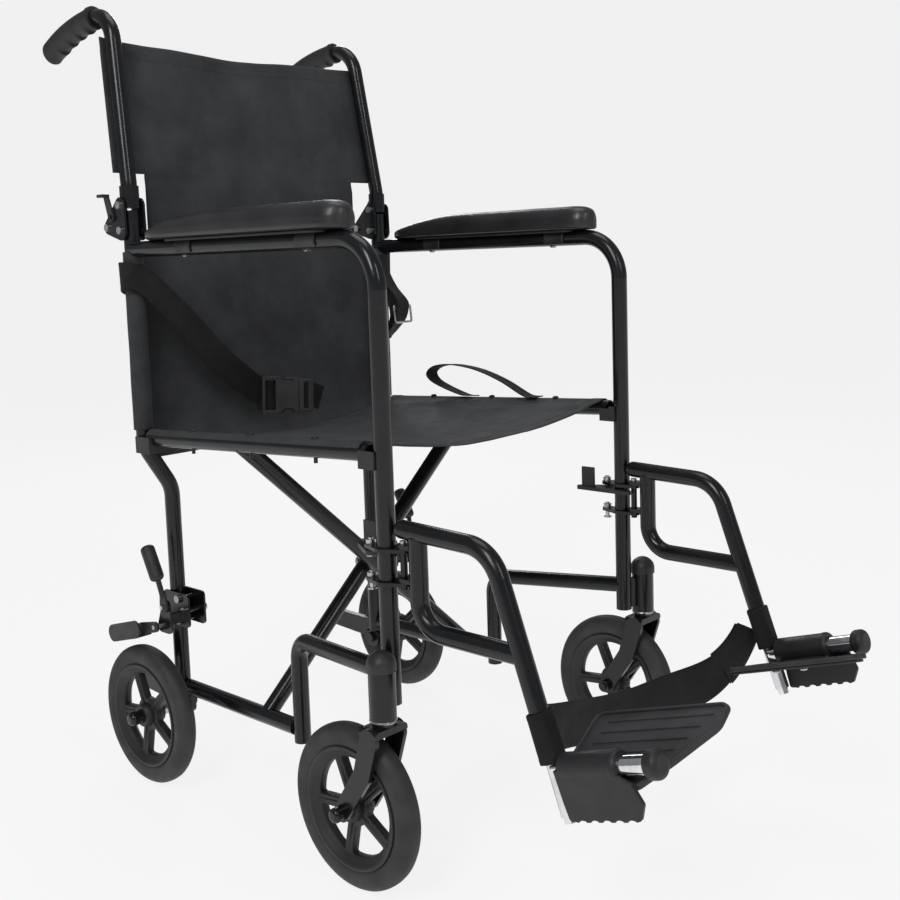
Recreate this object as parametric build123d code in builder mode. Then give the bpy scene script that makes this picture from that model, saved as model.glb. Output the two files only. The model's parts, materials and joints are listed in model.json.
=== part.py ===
"""Folding transport wheelchair with cross brace, swing-away footrests and fold-down back.

Millimetres. +Z is up, the chair faces -Y, the occupant's left is +X. z = 0 is the floor.
Heights are from the floor and lengths along the chair are from the rear axle, before AXLE_Y is added.
"""

import os
from math import atan2, cos, degrees, hypot, radians, sin

from build123d import *

os.makedirs("parts", exist_ok=True)

# ---------------------------------------------------------------- driving dimensions
AXLE_Y = 324.55         # rear axle, measured from the middle of the chair's length
TUBE_R = 10.5           # every main frame tube
WALL = 1.8              # tube wall
CLEAR = 0.3             # gap between pieces of different bodies that lie side by side
SIDE_X = 222.0          # side frame centre plane
LOW_X = 184.0           # lower frame rail, inboard of the wheels
RAIL_Z = 120.0          # lower rail height
FRONT_Y = -466.0        # front upright
FRONT_END_Z = 214.0     # its open lower end
ARM_Z = 725.0           # armrest tube
ARM_BEND = 56.0
PAD_Y = (-425.0, -45.0)  # armrest pad, front and rear end
PAD_W = 50.0
PAD_H = 31.0
HINGE_Z = 776.0         # top of the rear tube, where the back folds
REAR_END_Z = 104.0
STEP_Z = (402.0, 462.0)  # the rear tube steps inboard between these heights
STEP_BEND = 46.0
LOOP_Y = -259.0         # upright that closes the lower rail at the front
LOOP_TOP_Z = 236.0

WHEEL_R = 95.0
TYRE_W = 26.0
TYRE_IN_R = 71.0
RIM_IN_R = 57.0
HUB_R = 15.0
HUB_W = 30.0
AXLE_R = 5.0
BEARING_R = 9.0
SPOKES = 5
SPOKE_TURN = 66.0
REAR_X = 238.5          # rear wheel centre
CASTER_X = 249.0        # caster stem and front wheel centre
STEM_Y = -479.0
TRAIL = 49.0            # front axle behind the stem
HOUSING_Z = (209.0, 262.0)
HOUSING_R = 15.0
STEM_R = 7.9
CAP_TOP = 284.0
CROWN_Z = 198.0

BRACE_R = 11.0
BRACE_A_Y = -212.0
BRACE_B_Y = -187.5
ROD_R = 8.0             # fixed rod that each brace foot turns on
FOOT_BORE_R = 8.06
SEAT_FRONT = (-448.0, 493.0)   # seat rail front end: length position, height
SEAT_REAR = (-18.5, 475.0)
SEAT_SAG = 26.0

HANGER_X = 218.0
PIN_Y = -488.0
PIN_R = 4.0
BAR_R = 10.4
BAR_Z = 412.0
LEG_KNEE = (-614.0, 408.0)
LEG_END = (-689.0, 205.0)
LOOP_X_Y = -510.0
LOOP_LOW_Z = 305.0
LUG_Z = (352.0, 389.0)
LUG_R = 15.0            # small enough for the hanger to swing out a quarter turn
FOOT_AXIS = (-681.0, 196.0)
FOOT_RISE = 17.3        # degrees that the footrest tube rises toward the front
FOOT_LEN = 120.0
FOOT_TUBE_R = 10.0
FOOT_CAP_R = 14.5
SLEEVE_R = 15.5
PLATE_W = 100.0
PLATE_LEN = 170.0
PLATE_CUT = 112.0       # the outer front corner is cut back to here
PLATE_T = 6.0
PLATE_DROP = 21.0       # underside of the plate, below the footrest tube's centre
PLATE_TILT = {-1: 26.0, 1: 11.5}

FOLD_Y = 30.0           # back fold pivot, behind the rear tube
FOLD_Z = 755.0
RELEASE_Y = 18.0        # release lever's pivot on the hinge plate
RELEASE_Z = 768.0
CANE_TOP = (36.0, 1044.0)
CANE_END = (191.0, 1009.0)
CANE_TOP_X = 212.0
GRIP_R = 15.5
GRIP_LEN = 113.0
GRIP_FIT = 0.05          # the grip's bore is this much larger than the tube, in radius
SLING_T = 2.4
STRAP_SAG = 44.0
LOW_BACK_Z = 458.0      # lower edge of the back, between the tubes

SIDES = (("right", -1), ("left", 1))


# ---------------------------------------------------------------- small helpers
def at(x, y, z):
    """A point, with its length position counted from the rear axle."""
    return (x, AXLE_Y + y, z)


def rod(a, b, r):
    """Solid round bar from a to b, added to the open part."""
    va, vb = Vector(*a), Vector(*b)
    with BuildSketch(Plane(origin=va, z_dir=vb - va)) as end:
        Circle(r)
    extrude(end.sketch, amount=(vb - va).length)


def cut(a, b, r):
    """Round hole from a to b in the open part."""
    va, vb = Vector(*a), Vector(*b)
    with BuildSketch(Plane(origin=va, z_dir=vb - va)) as end:
        Circle(r)
    extrude(end.sketch, amount=(vb - va).length, mode=Mode.SUBTRACT)


def pipe(points, bend, r=TUBE_R, wall=WALL, mode=Mode.ADD):
    """Bent round tube through the points, hollow when wall is given."""
    with BuildLine() as path:
        if len(points) > 2:
            FilletPolyline(*points, radius=bend)
        else:
            Line(*points)
    with BuildSketch(Plane(origin=path.line @ 0, z_dir=path.line % 0)) as ring:
        Circle(r)
        if wall:
            Circle(r - wall, mode=Mode.SUBTRACT)
    sweep(ring.sketch, path=path.line, mode=mode)


def slab(x0, x1, y0, y1, z0, z1, mode=Mode.ADD):
    """Box between two corners, length positions counted from the rear axle."""
    with Locations(at((x0 + x1) / 2, (y0 + y1) / 2, (z0 + z1) / 2)):
        Box(abs(x1 - x0), y1 - y0, z1 - z0, mode=mode)


def ball(p, r):
    with Locations(p):
        Sphere(r)


def save(label, *parts):
    """Write one node: a single piece, or a group of separate pieces."""
    node = parts[0] if len(parts) == 1 else Compound(children=list(parts))
    node.label = label
    export_step(node, f"parts/{label}.step")


def flat(x0, x1, discs):
    """Plate between x0 and x1 whose outline is the hull of (length position, height, radius) discs."""
    with BuildSketch(Plane.YZ.offset(min(x0, x1))) as outline:
        for y, z, r in discs:
            with Locations((AXLE_Y + y, z)):
                Circle(r)
        make_hull()
    extrude(outline.sketch, amount=abs(x1 - x0))


def lug(z0, z1, discs):
    """Level plate between z0 and z1 whose outline is the hull of (x, length position, radius) discs."""
    with BuildSketch(Plane.XY.offset(z0)) as outline:
        for x, y, r in discs:
            with Locations((x, AXLE_Y + y)):
                Circle(r)
        make_hull()
    extrude(outline.sketch, amount=z1 - z0)


def foot_plane(s, along, tilt):
    """Plane on the footrest tube: local x runs forward along it, local y lies across the plate."""
    rise = radians(FOOT_RISE)
    t = radians(tilt)
    d = Vector(0, -cos(rise), sin(rise))
    up = Vector(0, sin(rise), cos(rise))
    m = up * cos(t) + Vector(s, 0, 0) * sin(t)
    start = Vector(*at(s * HANGER_X, FOOT_AXIS[0], FOOT_AXIS[1])) + d * along
    return Plane(origin=start, x_dir=d, z_dir=m)


def rail_point(t, x):
    """Point on the seat rail, t = 0 at its front end and 1 at its rear end."""
    y = SEAT_FRONT[0] + t * (SEAT_REAR[0] - SEAT_FRONT[0])
    z = SEAT_FRONT[1] + t * (SEAT_REAR[1] - SEAT_FRONT[1])
    return at(x, y, z)


def on_leg(along):
    """Length position and height on the hanger's lower leg, measured down from its knee."""
    dy, dz = LEG_END[0] - LEG_KNEE[0], LEG_END[1] - LEG_KNEE[1]
    n = hypot(dy, dz)
    return LEG_KNEE[0] + dy / n * along, LEG_KNEE[1] + dz / n * along


# ---------------------------------------------------------------- side frames
for side, s in SIDES:
    rear_run = [
        at(s * SIDE_X, 0, HINGE_Z),
        at(s * SIDE_X, 0, STEP_Z[1]),
        at(s * LOW_X, 0, STEP_Z[0]),
        at(s * LOW_X, 0, REAR_END_Z),
    ]

    # armrest tube that bends down into the front upright, ends against the rear tube
    with BuildPart() as front_tube:
        pipe(
            [at(s * SIDE_X, 0, ARM_Z), at(s * SIDE_X, FRONT_Y, ARM_Z), at(s * SIDE_X, FRONT_Y, FRONT_END_Z)],
            ARM_BEND,
        )
        cut(at(s * SIDE_X, 0, ARM_Z - 40), at(s * SIDE_X, 0, ARM_Z + 40), TUBE_R)
    save(f"{side}_front_tube", front_tube.part)

    # rear tube: straight down from the hinge, then stepped inboard to clear the wheel
    with BuildPart() as rear_tube:
        pipe(rear_run, STEP_BEND)
    save(f"{side}_rear_tube", rear_tube.part)

    # lower loop: rod that the brace foot turns on, upright, and the tube up to the front upright
    with BuildPart() as loop:
        pipe(
            [
                at(s * LOW_X, LOOP_Y, REAR_END_Z),
                at(s * LOW_X, LOOP_Y, LOOP_TOP_Z),
                at(s * SIDE_X, FRONT_Y, LOOP_TOP_Z + 12),
            ],
            26,
        )
        cut(at(s * SIDE_X, FRONT_Y, 200), at(s * SIDE_X, FRONT_Y, 300), TUBE_R)
        rod(at(s * LOW_X, -TUBE_R - 0.6, RAIL_Z), at(s * LOW_X, LOOP_Y + TUBE_R - 1.2, RAIL_Z), ROD_R)
        cut(at(s * LOW_X, 0, RAIL_Z - 30), at(s * LOW_X, 0, RAIL_Z + 30), TUBE_R)
    save(f"{side}_lower_loop", loop.part)

    # caster housing welded to the front upright, with its web and domed cap
    with BuildPart() as housing:
        rod(at(s * CASTER_X, STEM_Y, HOUSING_Z[0]), at(s * CASTER_X, STEM_Y, HOUSING_Z[1]), HOUSING_R)
        turn = degrees(atan2(STEM_Y - FRONT_Y, s * (CASTER_X - SIDE_X)))
        with Locations(Location(at(s * (SIDE_X + 13), FRONT_Y - 6.3, 236), (0, 0, turn))):
            Box(24, 9, 40)
        cut(at(s * SIDE_X, FRONT_Y, 200), at(s * SIDE_X, FRONT_Y, 300), TUBE_R)
        cut(at(s * CASTER_X, STEM_Y, 200), at(s * CASTER_X, STEM_Y, 270), STEM_R + 0.1)
    save(f"{side}_caster_housing", housing.part)

    with BuildPart() as cap:
        with BuildSketch(Plane.XZ.offset(-(AXLE_Y + STEM_Y))):
            with BuildLine():
                Line((s * CASTER_X, HOUSING_Z[1]), (s * (CASTER_X + 16.5), HOUSING_Z[1]))
                Line((s * (CASTER_X + 16.5), HOUSING_Z[1]), (s * (CASTER_X + 16.5), 268))
                Spline(
                    (s * (CASTER_X + 16.5), 268),
                    (s * (CASTER_X + 11.5), 279.5),
                    (s * CASTER_X, CAP_TOP),
                    tangents=((0, 1), (-s, 0)),
                )
                Line((s * CASTER_X, CAP_TOP), (s * CASTER_X, HOUSING_Z[1]))
            make_face()
        revolve(axis=Axis(at(s * CASTER_X, STEM_Y, 0), (0, 0, 1)))
    save(f"{side}_housing_cap", cap.part)

    # padded armrest, on the tube
    with BuildPart() as pad:
        with BuildSketch(Plane.XY.offset(ARM_Z + TUBE_R)):
            with Locations(at(s * SIDE_X, (PAD_Y[0] + PAD_Y[1]) / 2, 0)[:2]):
                SlotOverall(PAD_Y[1] - PAD_Y[0], PAD_W, rotation=90)
        extrude(amount=PAD_H)
        fillet(pad.edges().group_by(Axis.Z)[-1], 13)
        fillet(pad.edges().group_by(Axis.Z)[0], 5)
    save(f"{side}_arm_pad", pad.part)

    # saddles that the seat rail rests in, one on each upright, and a stop under the rail's rear end
    with BuildPart() as saddles:
        slab(s * (SIDE_X - 13), s * (SIDE_X + 13), FRONT_Y + 2, FRONT_Y + 27, 476, 496)
        cut(at(s * SIDE_X, FRONT_Y, 440), at(s * SIDE_X, FRONT_Y, 520), TUBE_R)
        slab(s * (SIDE_X - 15), s * (SIDE_X + 15), -34, -2, 456, 478)
        pipe(rear_run, STEP_BEND, wall=0, mode=Mode.SUBTRACT)
        a, b = rail_point(-0.05, s * SIDE_X), rail_point(1.05, s * SIDE_X)
        cut(a, b, TUBE_R + CLEAR)
        # the saddle is open upward and inward, so the rail can lift out when the chair folds
        slab(s * (SIDE_X - 30), s * (SIDE_X + TUBE_R + CLEAR), FRONT_Y + 12, FRONT_Y + 40, 493, 520, Mode.SUBTRACT)
        slab(s * (SIDE_X - 30), s * (SIDE_X + TUBE_R + CLEAR), -40, -12, 475, 500, Mode.SUBTRACT)
    save(f"{side}_rail_saddles", saddles.part)

    # steel plates on the frame: back hinge, footrest hinge, wheel lock clamp
    with BuildPart() as hardware:
        for x0, x1 in ((SIDE_X - 16, SIDE_X - 13.2), (SIDE_X + 13.2, SIDE_X + 16)):
            flat(s * x0, s * x1, ((0, 748, 11), (0, 783, 10), (FOLD_Y, FOLD_Z, 9)))
        for y, z in ((0, 750), (0, 783), (FOLD_Y, FOLD_Z)):
            rod(at(s * (SIDE_X + 16), y, z), at(s * (SIDE_X + 19.5), y, z), 5)
            rod(at(s * (SIDE_X - 16), y, z), at(s * (SIDE_X - 19.5), y, z), 5)
        rod(at(s * (SIDE_X - 17), FOLD_Y, FOLD_Z), at(s * (SIDE_X + 17), FOLD_Y, FOLD_Z), PIN_R)
        rod(at(s * (SIDE_X + 15), RELEASE_Y, RELEASE_Z), at(s * (SIDE_X + 21), RELEASE_Y, RELEASE_Z), 2.8)
        for x0, x1 in ((SIDE_X - 13.2, SIDE_X - TUBE_R), (SIDE_X + TUBE_R, SIDE_X + 13.2)):
            flat(s * x0, s * x1, ((0, 748, 7),))
        for z in LUG_Z:
            lug(z - 2, z + 2, (
                (s * SIDE_X, FRONT_Y, LUG_R), (s * HANGER_X, PIN_Y, 8), (s * SIDE_X, FRONT_Y + 25, 7),
            ))
            rod(at(s * SIDE_X, FRONT_Y + 25, z - 12), at(s * SIDE_X, FRONT_Y + 25, z + 9), 3)
            rod(at(s * SIDE_X, FRONT_Y + 25, z + 2), at(s * SIDE_X, FRONT_Y + 25, z + 7), 5.5)
            rod(at(s * SIDE_X, FRONT_Y + 25, z - 12), at(s * SIDE_X, FRONT_Y + 25, z - 10.5), 5.5)
        rod(at(s * HANGER_X, PIN_Y, LUG_Z[0] - 6), at(s * HANGER_X, PIN_Y, LUG_Z[1] + 10.5), PIN_R)
        for x0, x1 in ((LOW_X - 14, LOW_X - 11), (LOW_X + 11, LOW_X + 14)):
            flat(s * x0, s * x1, ((8, 218, 6), (8, 252, 6), (-38, 218, 6), (-38, 252, 6)))
        for y, z in ((-22, 220), (-22, 250), (-36, 235)):
            rod(at(s * (LOW_X - 18), y, z), at(s * (LOW_X + 18), y, z), 3)
            rod(at(s * (LOW_X + 14), y, z), at(s * (LOW_X + 18), y, z), 5.5)
            rod(at(s * (LOW_X - 18), y, z), at(s * (LOW_X - 14), y, z), 5.5)
        slab(s * (LOW_X - 11), s * (LOW_X + 11), TUBE_R - 4, TUBE_R + 3, 216, 254)
        slab(s * (LOW_X + 13), s * 229, -44, -36, 224, 238)
        flat(s * 228, s * 231, ((-40, 250, 9), (-28, 221, 8), (-44, 221, 8)))
        rod(at(s * 230, -40, 250), at(s * 238, -40, 250), 3)
        rod(at(s * 230, -28, 222), at(s * 244, -28, 222), 3)
        cut(at(s * SIDE_X, 0, 700), at(s * SIDE_X, 0, 776), TUBE_R)
        cut(at(s * SIDE_X, FRONT_Y, 300), at(s * SIDE_X, FRONT_Y, 420), TUBE_R)
        cut(at(s * LOW_X, 0, 200), at(s * LOW_X, 0, 270), TUBE_R)
    save(f"{side}_hardware", hardware.part)

    # rear axle: bracket under the rear tube with the tipping lever, and the axle bolt
    with BuildPart() as bracket:
        slab(s * (LOW_X - 10), s * (LOW_X + 10), -14, 14, 80, REAR_END_Z)
        fillet(bracket.edges().filter_by(Axis.X).group_by(Axis.Z)[0], 9)
        flat(s * (LOW_X - 4.5), s * (LOW_X + 4.5), ((8, 113, 9), (8, 100, 8), (90, 108, 11), (88, 113, 11)))
        cut(at(s * LOW_X, 0, REAR_END_Z), at(s * LOW_X, 0, 160), TUBE_R)
        cut(at(s * (LOW_X - 20), 0, WHEEL_R), at(s * (LOW_X + 20), 0, WHEEL_R), AXLE_R)
    hub_in, hub_out = REAR_X - HUB_W / 2 - CLEAR, REAR_X + HUB_W / 2 + CLEAR
    with BuildPart() as rear_axle:
        rod(at(s * (LOW_X - 15), 0, WHEEL_R), at(s * (hub_out + 8), 0, WHEEL_R), AXLE_R)
        rod(at(s * (LOW_X - 16), 0, WHEEL_R), at(s * (LOW_X - 10), 0, WHEEL_R), 8)
        rod(at(s * (LOW_X + 10), 0, WHEEL_R), at(s * hub_in, 0, WHEEL_R), 8)
        with Locations(Location(at(s * (hub_out + 9), 0, WHEEL_R), (0, 90, 0))):
            Cylinder(9.5, 18)
        fillet(rear_axle.edges().filter_by(GeomType.CIRCLE).sort_by(Axis.X)[0 if s < 0 else -1], 6)
    save(f"{side}_rear_axle", bracket.part, rear_axle.part)

    # caster fork on its stem, and the front axle bolt through its legs
    axle_y = STEM_Y + TRAIL
    with BuildPart() as fork:
        slab(s * (CASTER_X - 23.5), s * (CASTER_X + 23.5), STEM_Y - 13, STEM_Y + 15, CROWN_Z - 5, CROWN_Z + 3)
        fillet(fork.edges().filter_by(Axis.Y).group_by(Axis.Z)[-1], 5)
        rod(at(s * CASTER_X, STEM_Y, CROWN_Z), at(s * CASTER_X, STEM_Y, 257), STEM_R)
        rod(at(s * CASTER_X, STEM_Y, CROWN_Z), at(s * CASTER_X, STEM_Y, HOUSING_Z[0] - CLEAR), 12.5)
        for d0, d1 in ((-23.5, -18.5), (18.5, 23.5)):
            flat(s * (CASTER_X + d0), s * (CASTER_X + d1), ((STEM_Y + 1, CROWN_Z - 9, 13), (STEM_Y + 14, 146, 12)))
            flat(s * (CASTER_X + d0), s * (CASTER_X + d1), ((STEM_Y + 14, 146, 12), (axle_y, WHEEL_R, 11)))
        cut(at(s * (CASTER_X - 30), axle_y, WHEEL_R), at(s * (CASTER_X + 30), axle_y, WHEEL_R), AXLE_R)
    hub_half = HUB_W / 2 + CLEAR
    with BuildPart() as front_axle:
        rod(at(s * (CASTER_X - 32), axle_y, WHEEL_R), at(s * (CASTER_X + 30), axle_y, WHEEL_R), AXLE_R)
        for d0, d1 in ((-18.5, -hub_half), (hub_half, 18.5)):
            rod(at(s * (CASTER_X + d0), axle_y, WHEEL_R), at(s * (CASTER_X + d1), axle_y, WHEEL_R), 7)
        rod(at(s * (CASTER_X - 30), axle_y, WHEEL_R), at(s * (CASTER_X - 23.5), axle_y, WHEEL_R), 8)
        rod(at(s * (CASTER_X + 23.5), axle_y, WHEEL_R), at(s * (CASTER_X + 37), axle_y, WHEEL_R), 8.5)
        fillet(front_axle.edges().filter_by(GeomType.CIRCLE).sort_by(Axis.X)[0 if s < 0 else -1], 5)
    save(f"{side}_fork", fork.part, front_axle.part)

    # wheels: solid tyre, five-spoke rim with a bearing at each end of the hub
    for place, wheel_x, wheel_y in (("front", CASTER_X, axle_y), ("rear", REAR_X, 0)):
        centre = at(s * wheel_x, wheel_y, WHEEL_R)
        spin = Axis(centre, (1, 0, 0))
        with BuildPart() as tyre:
            with BuildSketch(Plane(origin=centre, x_dir=(1, 0, 0), z_dir=(0, -1, 0))):
                with Locations((0, (TYRE_IN_R + WHEEL_R) / 2)):
                    Rectangle(TYRE_W, WHEEL_R - TYRE_IN_R)
            revolve(axis=spin)
            fillet(tyre.edges().filter_by(GeomType.CIRCLE).sort_by(lambda e: -e.radius)[:2], 10)
        save(f"{side}_{place}_tyre", tyre.part)

        with BuildPart() as rim:
            with Locations(Location(centre, (0, 90, 0))):
                Cylinder(TYRE_IN_R, TYRE_W - 2)
                Cylinder(RIM_IN_R, TYRE_W, mode=Mode.SUBTRACT)
                Cylinder(HUB_R, HUB_W)
            for k in range(SPOKES):
                a = radians(SPOKE_TURN + 360 / SPOKES * k)
                mid = (HUB_R + RIM_IN_R) / 2
                spot = (centre[0], centre[1] + mid * cos(a), centre[2] + mid * sin(a))
                with Locations(Location(spot, (degrees(a), 0, 0))):
                    Box(13, RIM_IN_R - HUB_R + 6, 14)
            cut((centre[0] - 30, centre[1], centre[2]), (centre[0] + 30, centre[1], centre[2]), AXLE_R + 1)
            for e in (-1, 1):
                face = centre[0] + e * HUB_W / 2
                cut((face, centre[1], centre[2]), (face - e * 7, centre[1], centre[2]), BEARING_R)
        bearings = []
        for e in (-1, 1):
            face = centre[0] + e * HUB_W / 2
            with BuildPart() as bearing:
                rod((face, centre[1], centre[2]), (face - e * 7, centre[1], centre[2]), BEARING_R)
                cut((face, centre[1], centre[2]), (face - e * 7, centre[1], centre[2]), AXLE_R + 0.06)
            bearings.append(bearing.part)
        save(f"{side}_{place}_rim", rim.part, *bearings)

    # upper back cane, hinged behind the rear tube, with its bottom sleeve and tongue
    with BuildPart() as cane:
        pipe(
            [
                at(s * SIDE_X, 0, HINGE_Z + 3),
                at(s * SIDE_X, 0, HINGE_Z + 34),
                at(s * CANE_TOP_X, CANE_TOP[0], CANE_TOP[1]),
                at(s * CANE_TOP_X, CANE_END[0] - 2, CANE_END[1] + 0.5),
            ],
            42,
        )
        rod(at(s * SIDE_X, 0, HINGE_Z + 3), at(s * SIDE_X, 0, HINGE_Z + 32), 12.4)
        flat(s * (SIDE_X - 4), s * (SIDE_X + 4), ((8, HINGE_Z + 14, 10), (FOLD_Y, FOLD_Z, 9)))
        cut(at(s * (SIDE_X - 6), FOLD_Y, FOLD_Z), at(s * (SIDE_X + 6), FOLD_Y, FOLD_Z), PIN_R + 0.06)
        cut(at(s * SIDE_X, 0, HINGE_Z - 30), at(s * SIDE_X, 0, HINGE_Z + 3), 14)
    save(f"{side}_cane", cane.part)

    # rubber push grip with finger ridges underneath
    with BuildPart() as grip:
        bar = Vector(0, CANE_END[0] - CANE_TOP[0], CANE_END[1] - CANE_TOP[1]).normalized()
        end = Vector(*at(s * CANE_TOP_X, *CANE_END))
        start = end - bar * GRIP_LEN
        rod(tuple(start), tuple(end + bar * 3), GRIP_R)
        fillet(grip.edges().filter_by(GeomType.CIRCLE), 4)
        down = Vector(0, bar.Z, -bar.Y)
        for k in range(4):
            dip = start + bar * (22 + 25 * k) + down * (GRIP_R + 9)
            cut((dip.X - 20, dip.Y, dip.Z), (dip.X + 20, dip.Y, dip.Z), 12)
        cut(tuple(start - bar * 2), tuple(end - bar * 2), TUBE_R + GRIP_FIT)
    save(f"{side}_grip", grip.part)

    # release lever beside the back hinge
    with BuildPart() as release:
        x0 = SIDE_X + 16 + CLEAR
        flat(s * x0, s * (x0 + 2.6), ((RELEASE_Y, RELEASE_Z, 6), (RELEASE_Y + 9, RELEASE_Z + 25, 5)))
        slab(s * x0, s * (x0 + 11), 22, 35, 794, 798)
        cut(at(s * (SIDE_X + 10), RELEASE_Y, RELEASE_Z), at(s * (SIDE_X + 30), RELEASE_Y, RELEASE_Z), 2.86)
    save(f"{side}_release_lever", release.part)

    # wheel lock: lever with its grip, and the shoe that presses on the tyre
    with BuildPart() as lock_lever:
        flat(s * 231.3, s * 234.5, ((-40, 250, 8), (-39, 266, 6)))
        rod(at(s * 233, -39, 262), at(s * 236, -33, 290), 3.6)
        cut(at(s * 225, -40, 250), at(s * 245, -40, 250), 3.06)
    with BuildPart() as lock_grip:
        rod(at(s * 236, -34.5, 286), at(s * 236, -11, 330), 9.5)
        fillet(lock_grip.edges().filter_by(GeomType.CIRCLE), 6)
        cut(at(s * 233, -39, 262), at(s * 236, -33, 290), 3.6)
    save(f"{side}_lock_lever", lock_lever.part, lock_grip.part)

    with BuildPart() as shoe:
        flat(s * 238.6, s * 242, ((-28, 222, 7), (6, 214, 8)))
        flat(s * 239, s * 251, ((6, 214, 7.5), (10, 212, 7.5)))
        flat(s * 248, s * 251, ((8, 214, 12), (62, 199, 12)))
        flat(s * 227, s * 251, ((6, 204, 2), (62, 189, 2)))
        cut(at(s * 225, -28, 222), at(s * 255, -28, 222), 3.06)
    save(f"{side}_lock_shoe", shoe.part)

    # footrest hanger: bar from the pin to the leg, and the upright that carries the two ears
    x = s * HANGER_X
    plane = foot_plane(s, 0, 0)
    foot0, foot1 = plane.origin + plane.x_dir * 11, plane.origin + plane.x_dir * (FOOT_LEN + 4)
    with BuildPart() as hanger:
        pipe([at(x, PIN_Y, BAR_Z), at(x, *LEG_KNEE), at(x, *LEG_END)], 46, BAR_R)
        pipe([at(x, LOOP_X_Y, BAR_Z - 6), at(x, LOOP_X_Y, LOOP_LOW_Z), at(x, -652, LOOP_LOW_Z)], 34, BAR_R)
        ball(at(x, PIN_Y, BAR_Z), BAR_R)
        for z in LUG_Z:
            lug(z + 2 + CLEAR, z + 7, ((x, PIN_Y, 7.5), (x, LOOP_X_Y + 3, 7)))
        cut(at(x, PIN_Y, 340), at(x, PIN_Y, BAR_Z - BAR_R - 1.2), PIN_R + 0.06)
        down_leg = Vector(0, LEG_END[0] - LEG_KNEE[0], LEG_END[1] - LEG_KNEE[1]).normalized()
        leg_end = Vector(*at(x, *LEG_END))
        cut(tuple(leg_end - down_leg * 55), tuple(leg_end + down_leg * 2), BAR_R - WALL)
        cut(tuple(foot0), tuple(foot1), FOOT_TUBE_R)
    save(f"{side}_hanger", hanger.part)

    # chrome post in the leg, with the footrest tube across it and its end cap
    with BuildPart() as post:
        rod(tuple(leg_end - down_leg * 50), tuple(leg_end + down_leg * 52), BAR_R - WALL)
        rod(tuple(leg_end + down_leg * 52), tuple(leg_end + down_leg * 59), 6.5)
        rod(tuple(foot0), tuple(foot1), FOOT_TUBE_R)
    with BuildPart() as foot_cap:
        rod(tuple(foot1), tuple(foot1 + plane.x_dir * 17), FOOT_CAP_R)
        fillet(foot_cap.edges().filter_by(GeomType.CIRCLE), 6)
    save(f"{side}_foot_post", post.part, foot_cap.part)

    # footplate that flips up about the footrest tube
    plane = foot_plane(s, 0, PLATE_TILT[s])
    inward = -s
    with BuildPart() as footplate:
        with BuildSketch(plane.offset(-PLATE_DROP)):
            with BuildLine():
                Polyline(
                    (2, inward * 16), (28, inward * 16), (28, -inward * 15), (PLATE_CUT, -inward * 15),
                    (PLATE_LEN, inward * (PLATE_W - 40)), (PLATE_LEN, inward * (PLATE_W - 6)),
                    (2, inward * (PLATE_W - 6)), (2, inward * 16),
                )
            make_face()
        extrude(amount=PLATE_T)
        fillet(footplate.edges().filter_by(Axis(plane.origin, plane.z_dir)).sort_by(Axis.Y)[:3], 12)
        with BuildSketch(plane.offset(-46)):
            with Locations((60, -inward * 12)):
                Rectangle(70, 6)
        extrude(amount=34)
        with BuildSketch(plane.offset(-PLATE_DROP)):
            with Locations((58.5, 0)):
                Rectangle(71, 24)
        extrude(amount=PLATE_DROP - 8)
        o, d = plane.origin, plane.x_dir
        rod(tuple(o + d * 23), tuple(o + d * 94), SLEEVE_R)
        for k in range(4):
            notch = o + d * (34 + 18 * k) - plane.z_dir * 49
            n0 = notch - plane.y_dir * 30
            n1 = notch + plane.y_dir * 30
            cut(tuple(n0), tuple(n1), 7)
        cut(tuple(o + d * 10), tuple(o + d * 110), FOOT_TUBE_R + 0.06)
    save(f"{side}_footplate", footplate.part)

    # latch lever that holds the hanger forward
    with BuildPart() as latch:
        lug(379, 384, ((s * 205, -408, 5), (s * 205, -486, 5), (s * SIDE_X, FRONT_Y + 25, 7)))
        slab(s * 202.5, s * 206, -432, -412, 384, 411)
        cut(at(s * SIDE_X, FRONT_Y, 370), at(s * SIDE_X, FRONT_Y, 420), TUBE_R + 2)
        cut(at(s * SIDE_X, FRONT_Y + 25, 370), at(s * SIDE_X, FRONT_Y + 25, 390), 3.06)
    save(f"{side}_latch", latch.part)

    # seat rail on top of its brace, with the tips of the screws that hold the seat
    with BuildPart() as rail:
        pipe([rail_point(0, s * SIDE_X), rail_point(1, s * SIDE_X)], 0)
        for t in (0.22, 0.5, 0.78):
            p = rail_point(t, s * SIDE_X)
            rod((p[0], p[1], p[2] - TUBE_R - 6), (p[0], p[1], p[2] - TUBE_R + 1), 2.4)
    save(f"{side}_seat_rail", rail.part)


# ---------------------------------------------------------------- cross brace
def rail_height(y):
    return SEAT_FRONT[1] + (y - SEAT_FRONT[0]) / (SEAT_REAR[0] - SEAT_FRONT[0]) * (SEAT_REAR[1] - SEAT_FRONT[1])


PIVOT_Z = RAIL_Z + (rail_height(-200) - RAIL_Z) * LOW_X / (LOW_X + SIDE_X)
for label, foot_side, y, gap in (("brace_a", 1, BRACE_A_Y, PIN_R + 0.06), ("brace_b", -1, BRACE_B_Y, PIN_R)):
    foot = at(foot_side * LOW_X, y, RAIL_Z)
    top = at(-foot_side * SIDE_X, y, rail_height(y))
    with BuildPart() as brace:
        pipe([foot, top], 0, BRACE_R)
        rod(at(foot_side * LOW_X, -TUBE_R - 3, RAIL_Z), at(foot_side * LOW_X, LOOP_Y + TUBE_R + 0.6, RAIL_Z), TUBE_R)
        cut(at(foot_side * LOW_X, 0, RAIL_Z), at(foot_side * LOW_X, LOOP_Y, RAIL_Z), FOOT_BORE_R)
        cut(rail_point(-0.1, -foot_side * SIDE_X), rail_point(1.1, -foot_side * SIDE_X), TUBE_R)
        cut(at(0, y - 20, PIVOT_Z), at(0, y + 20, PIVOT_Z), gap)
    save(label, brace.part)

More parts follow.
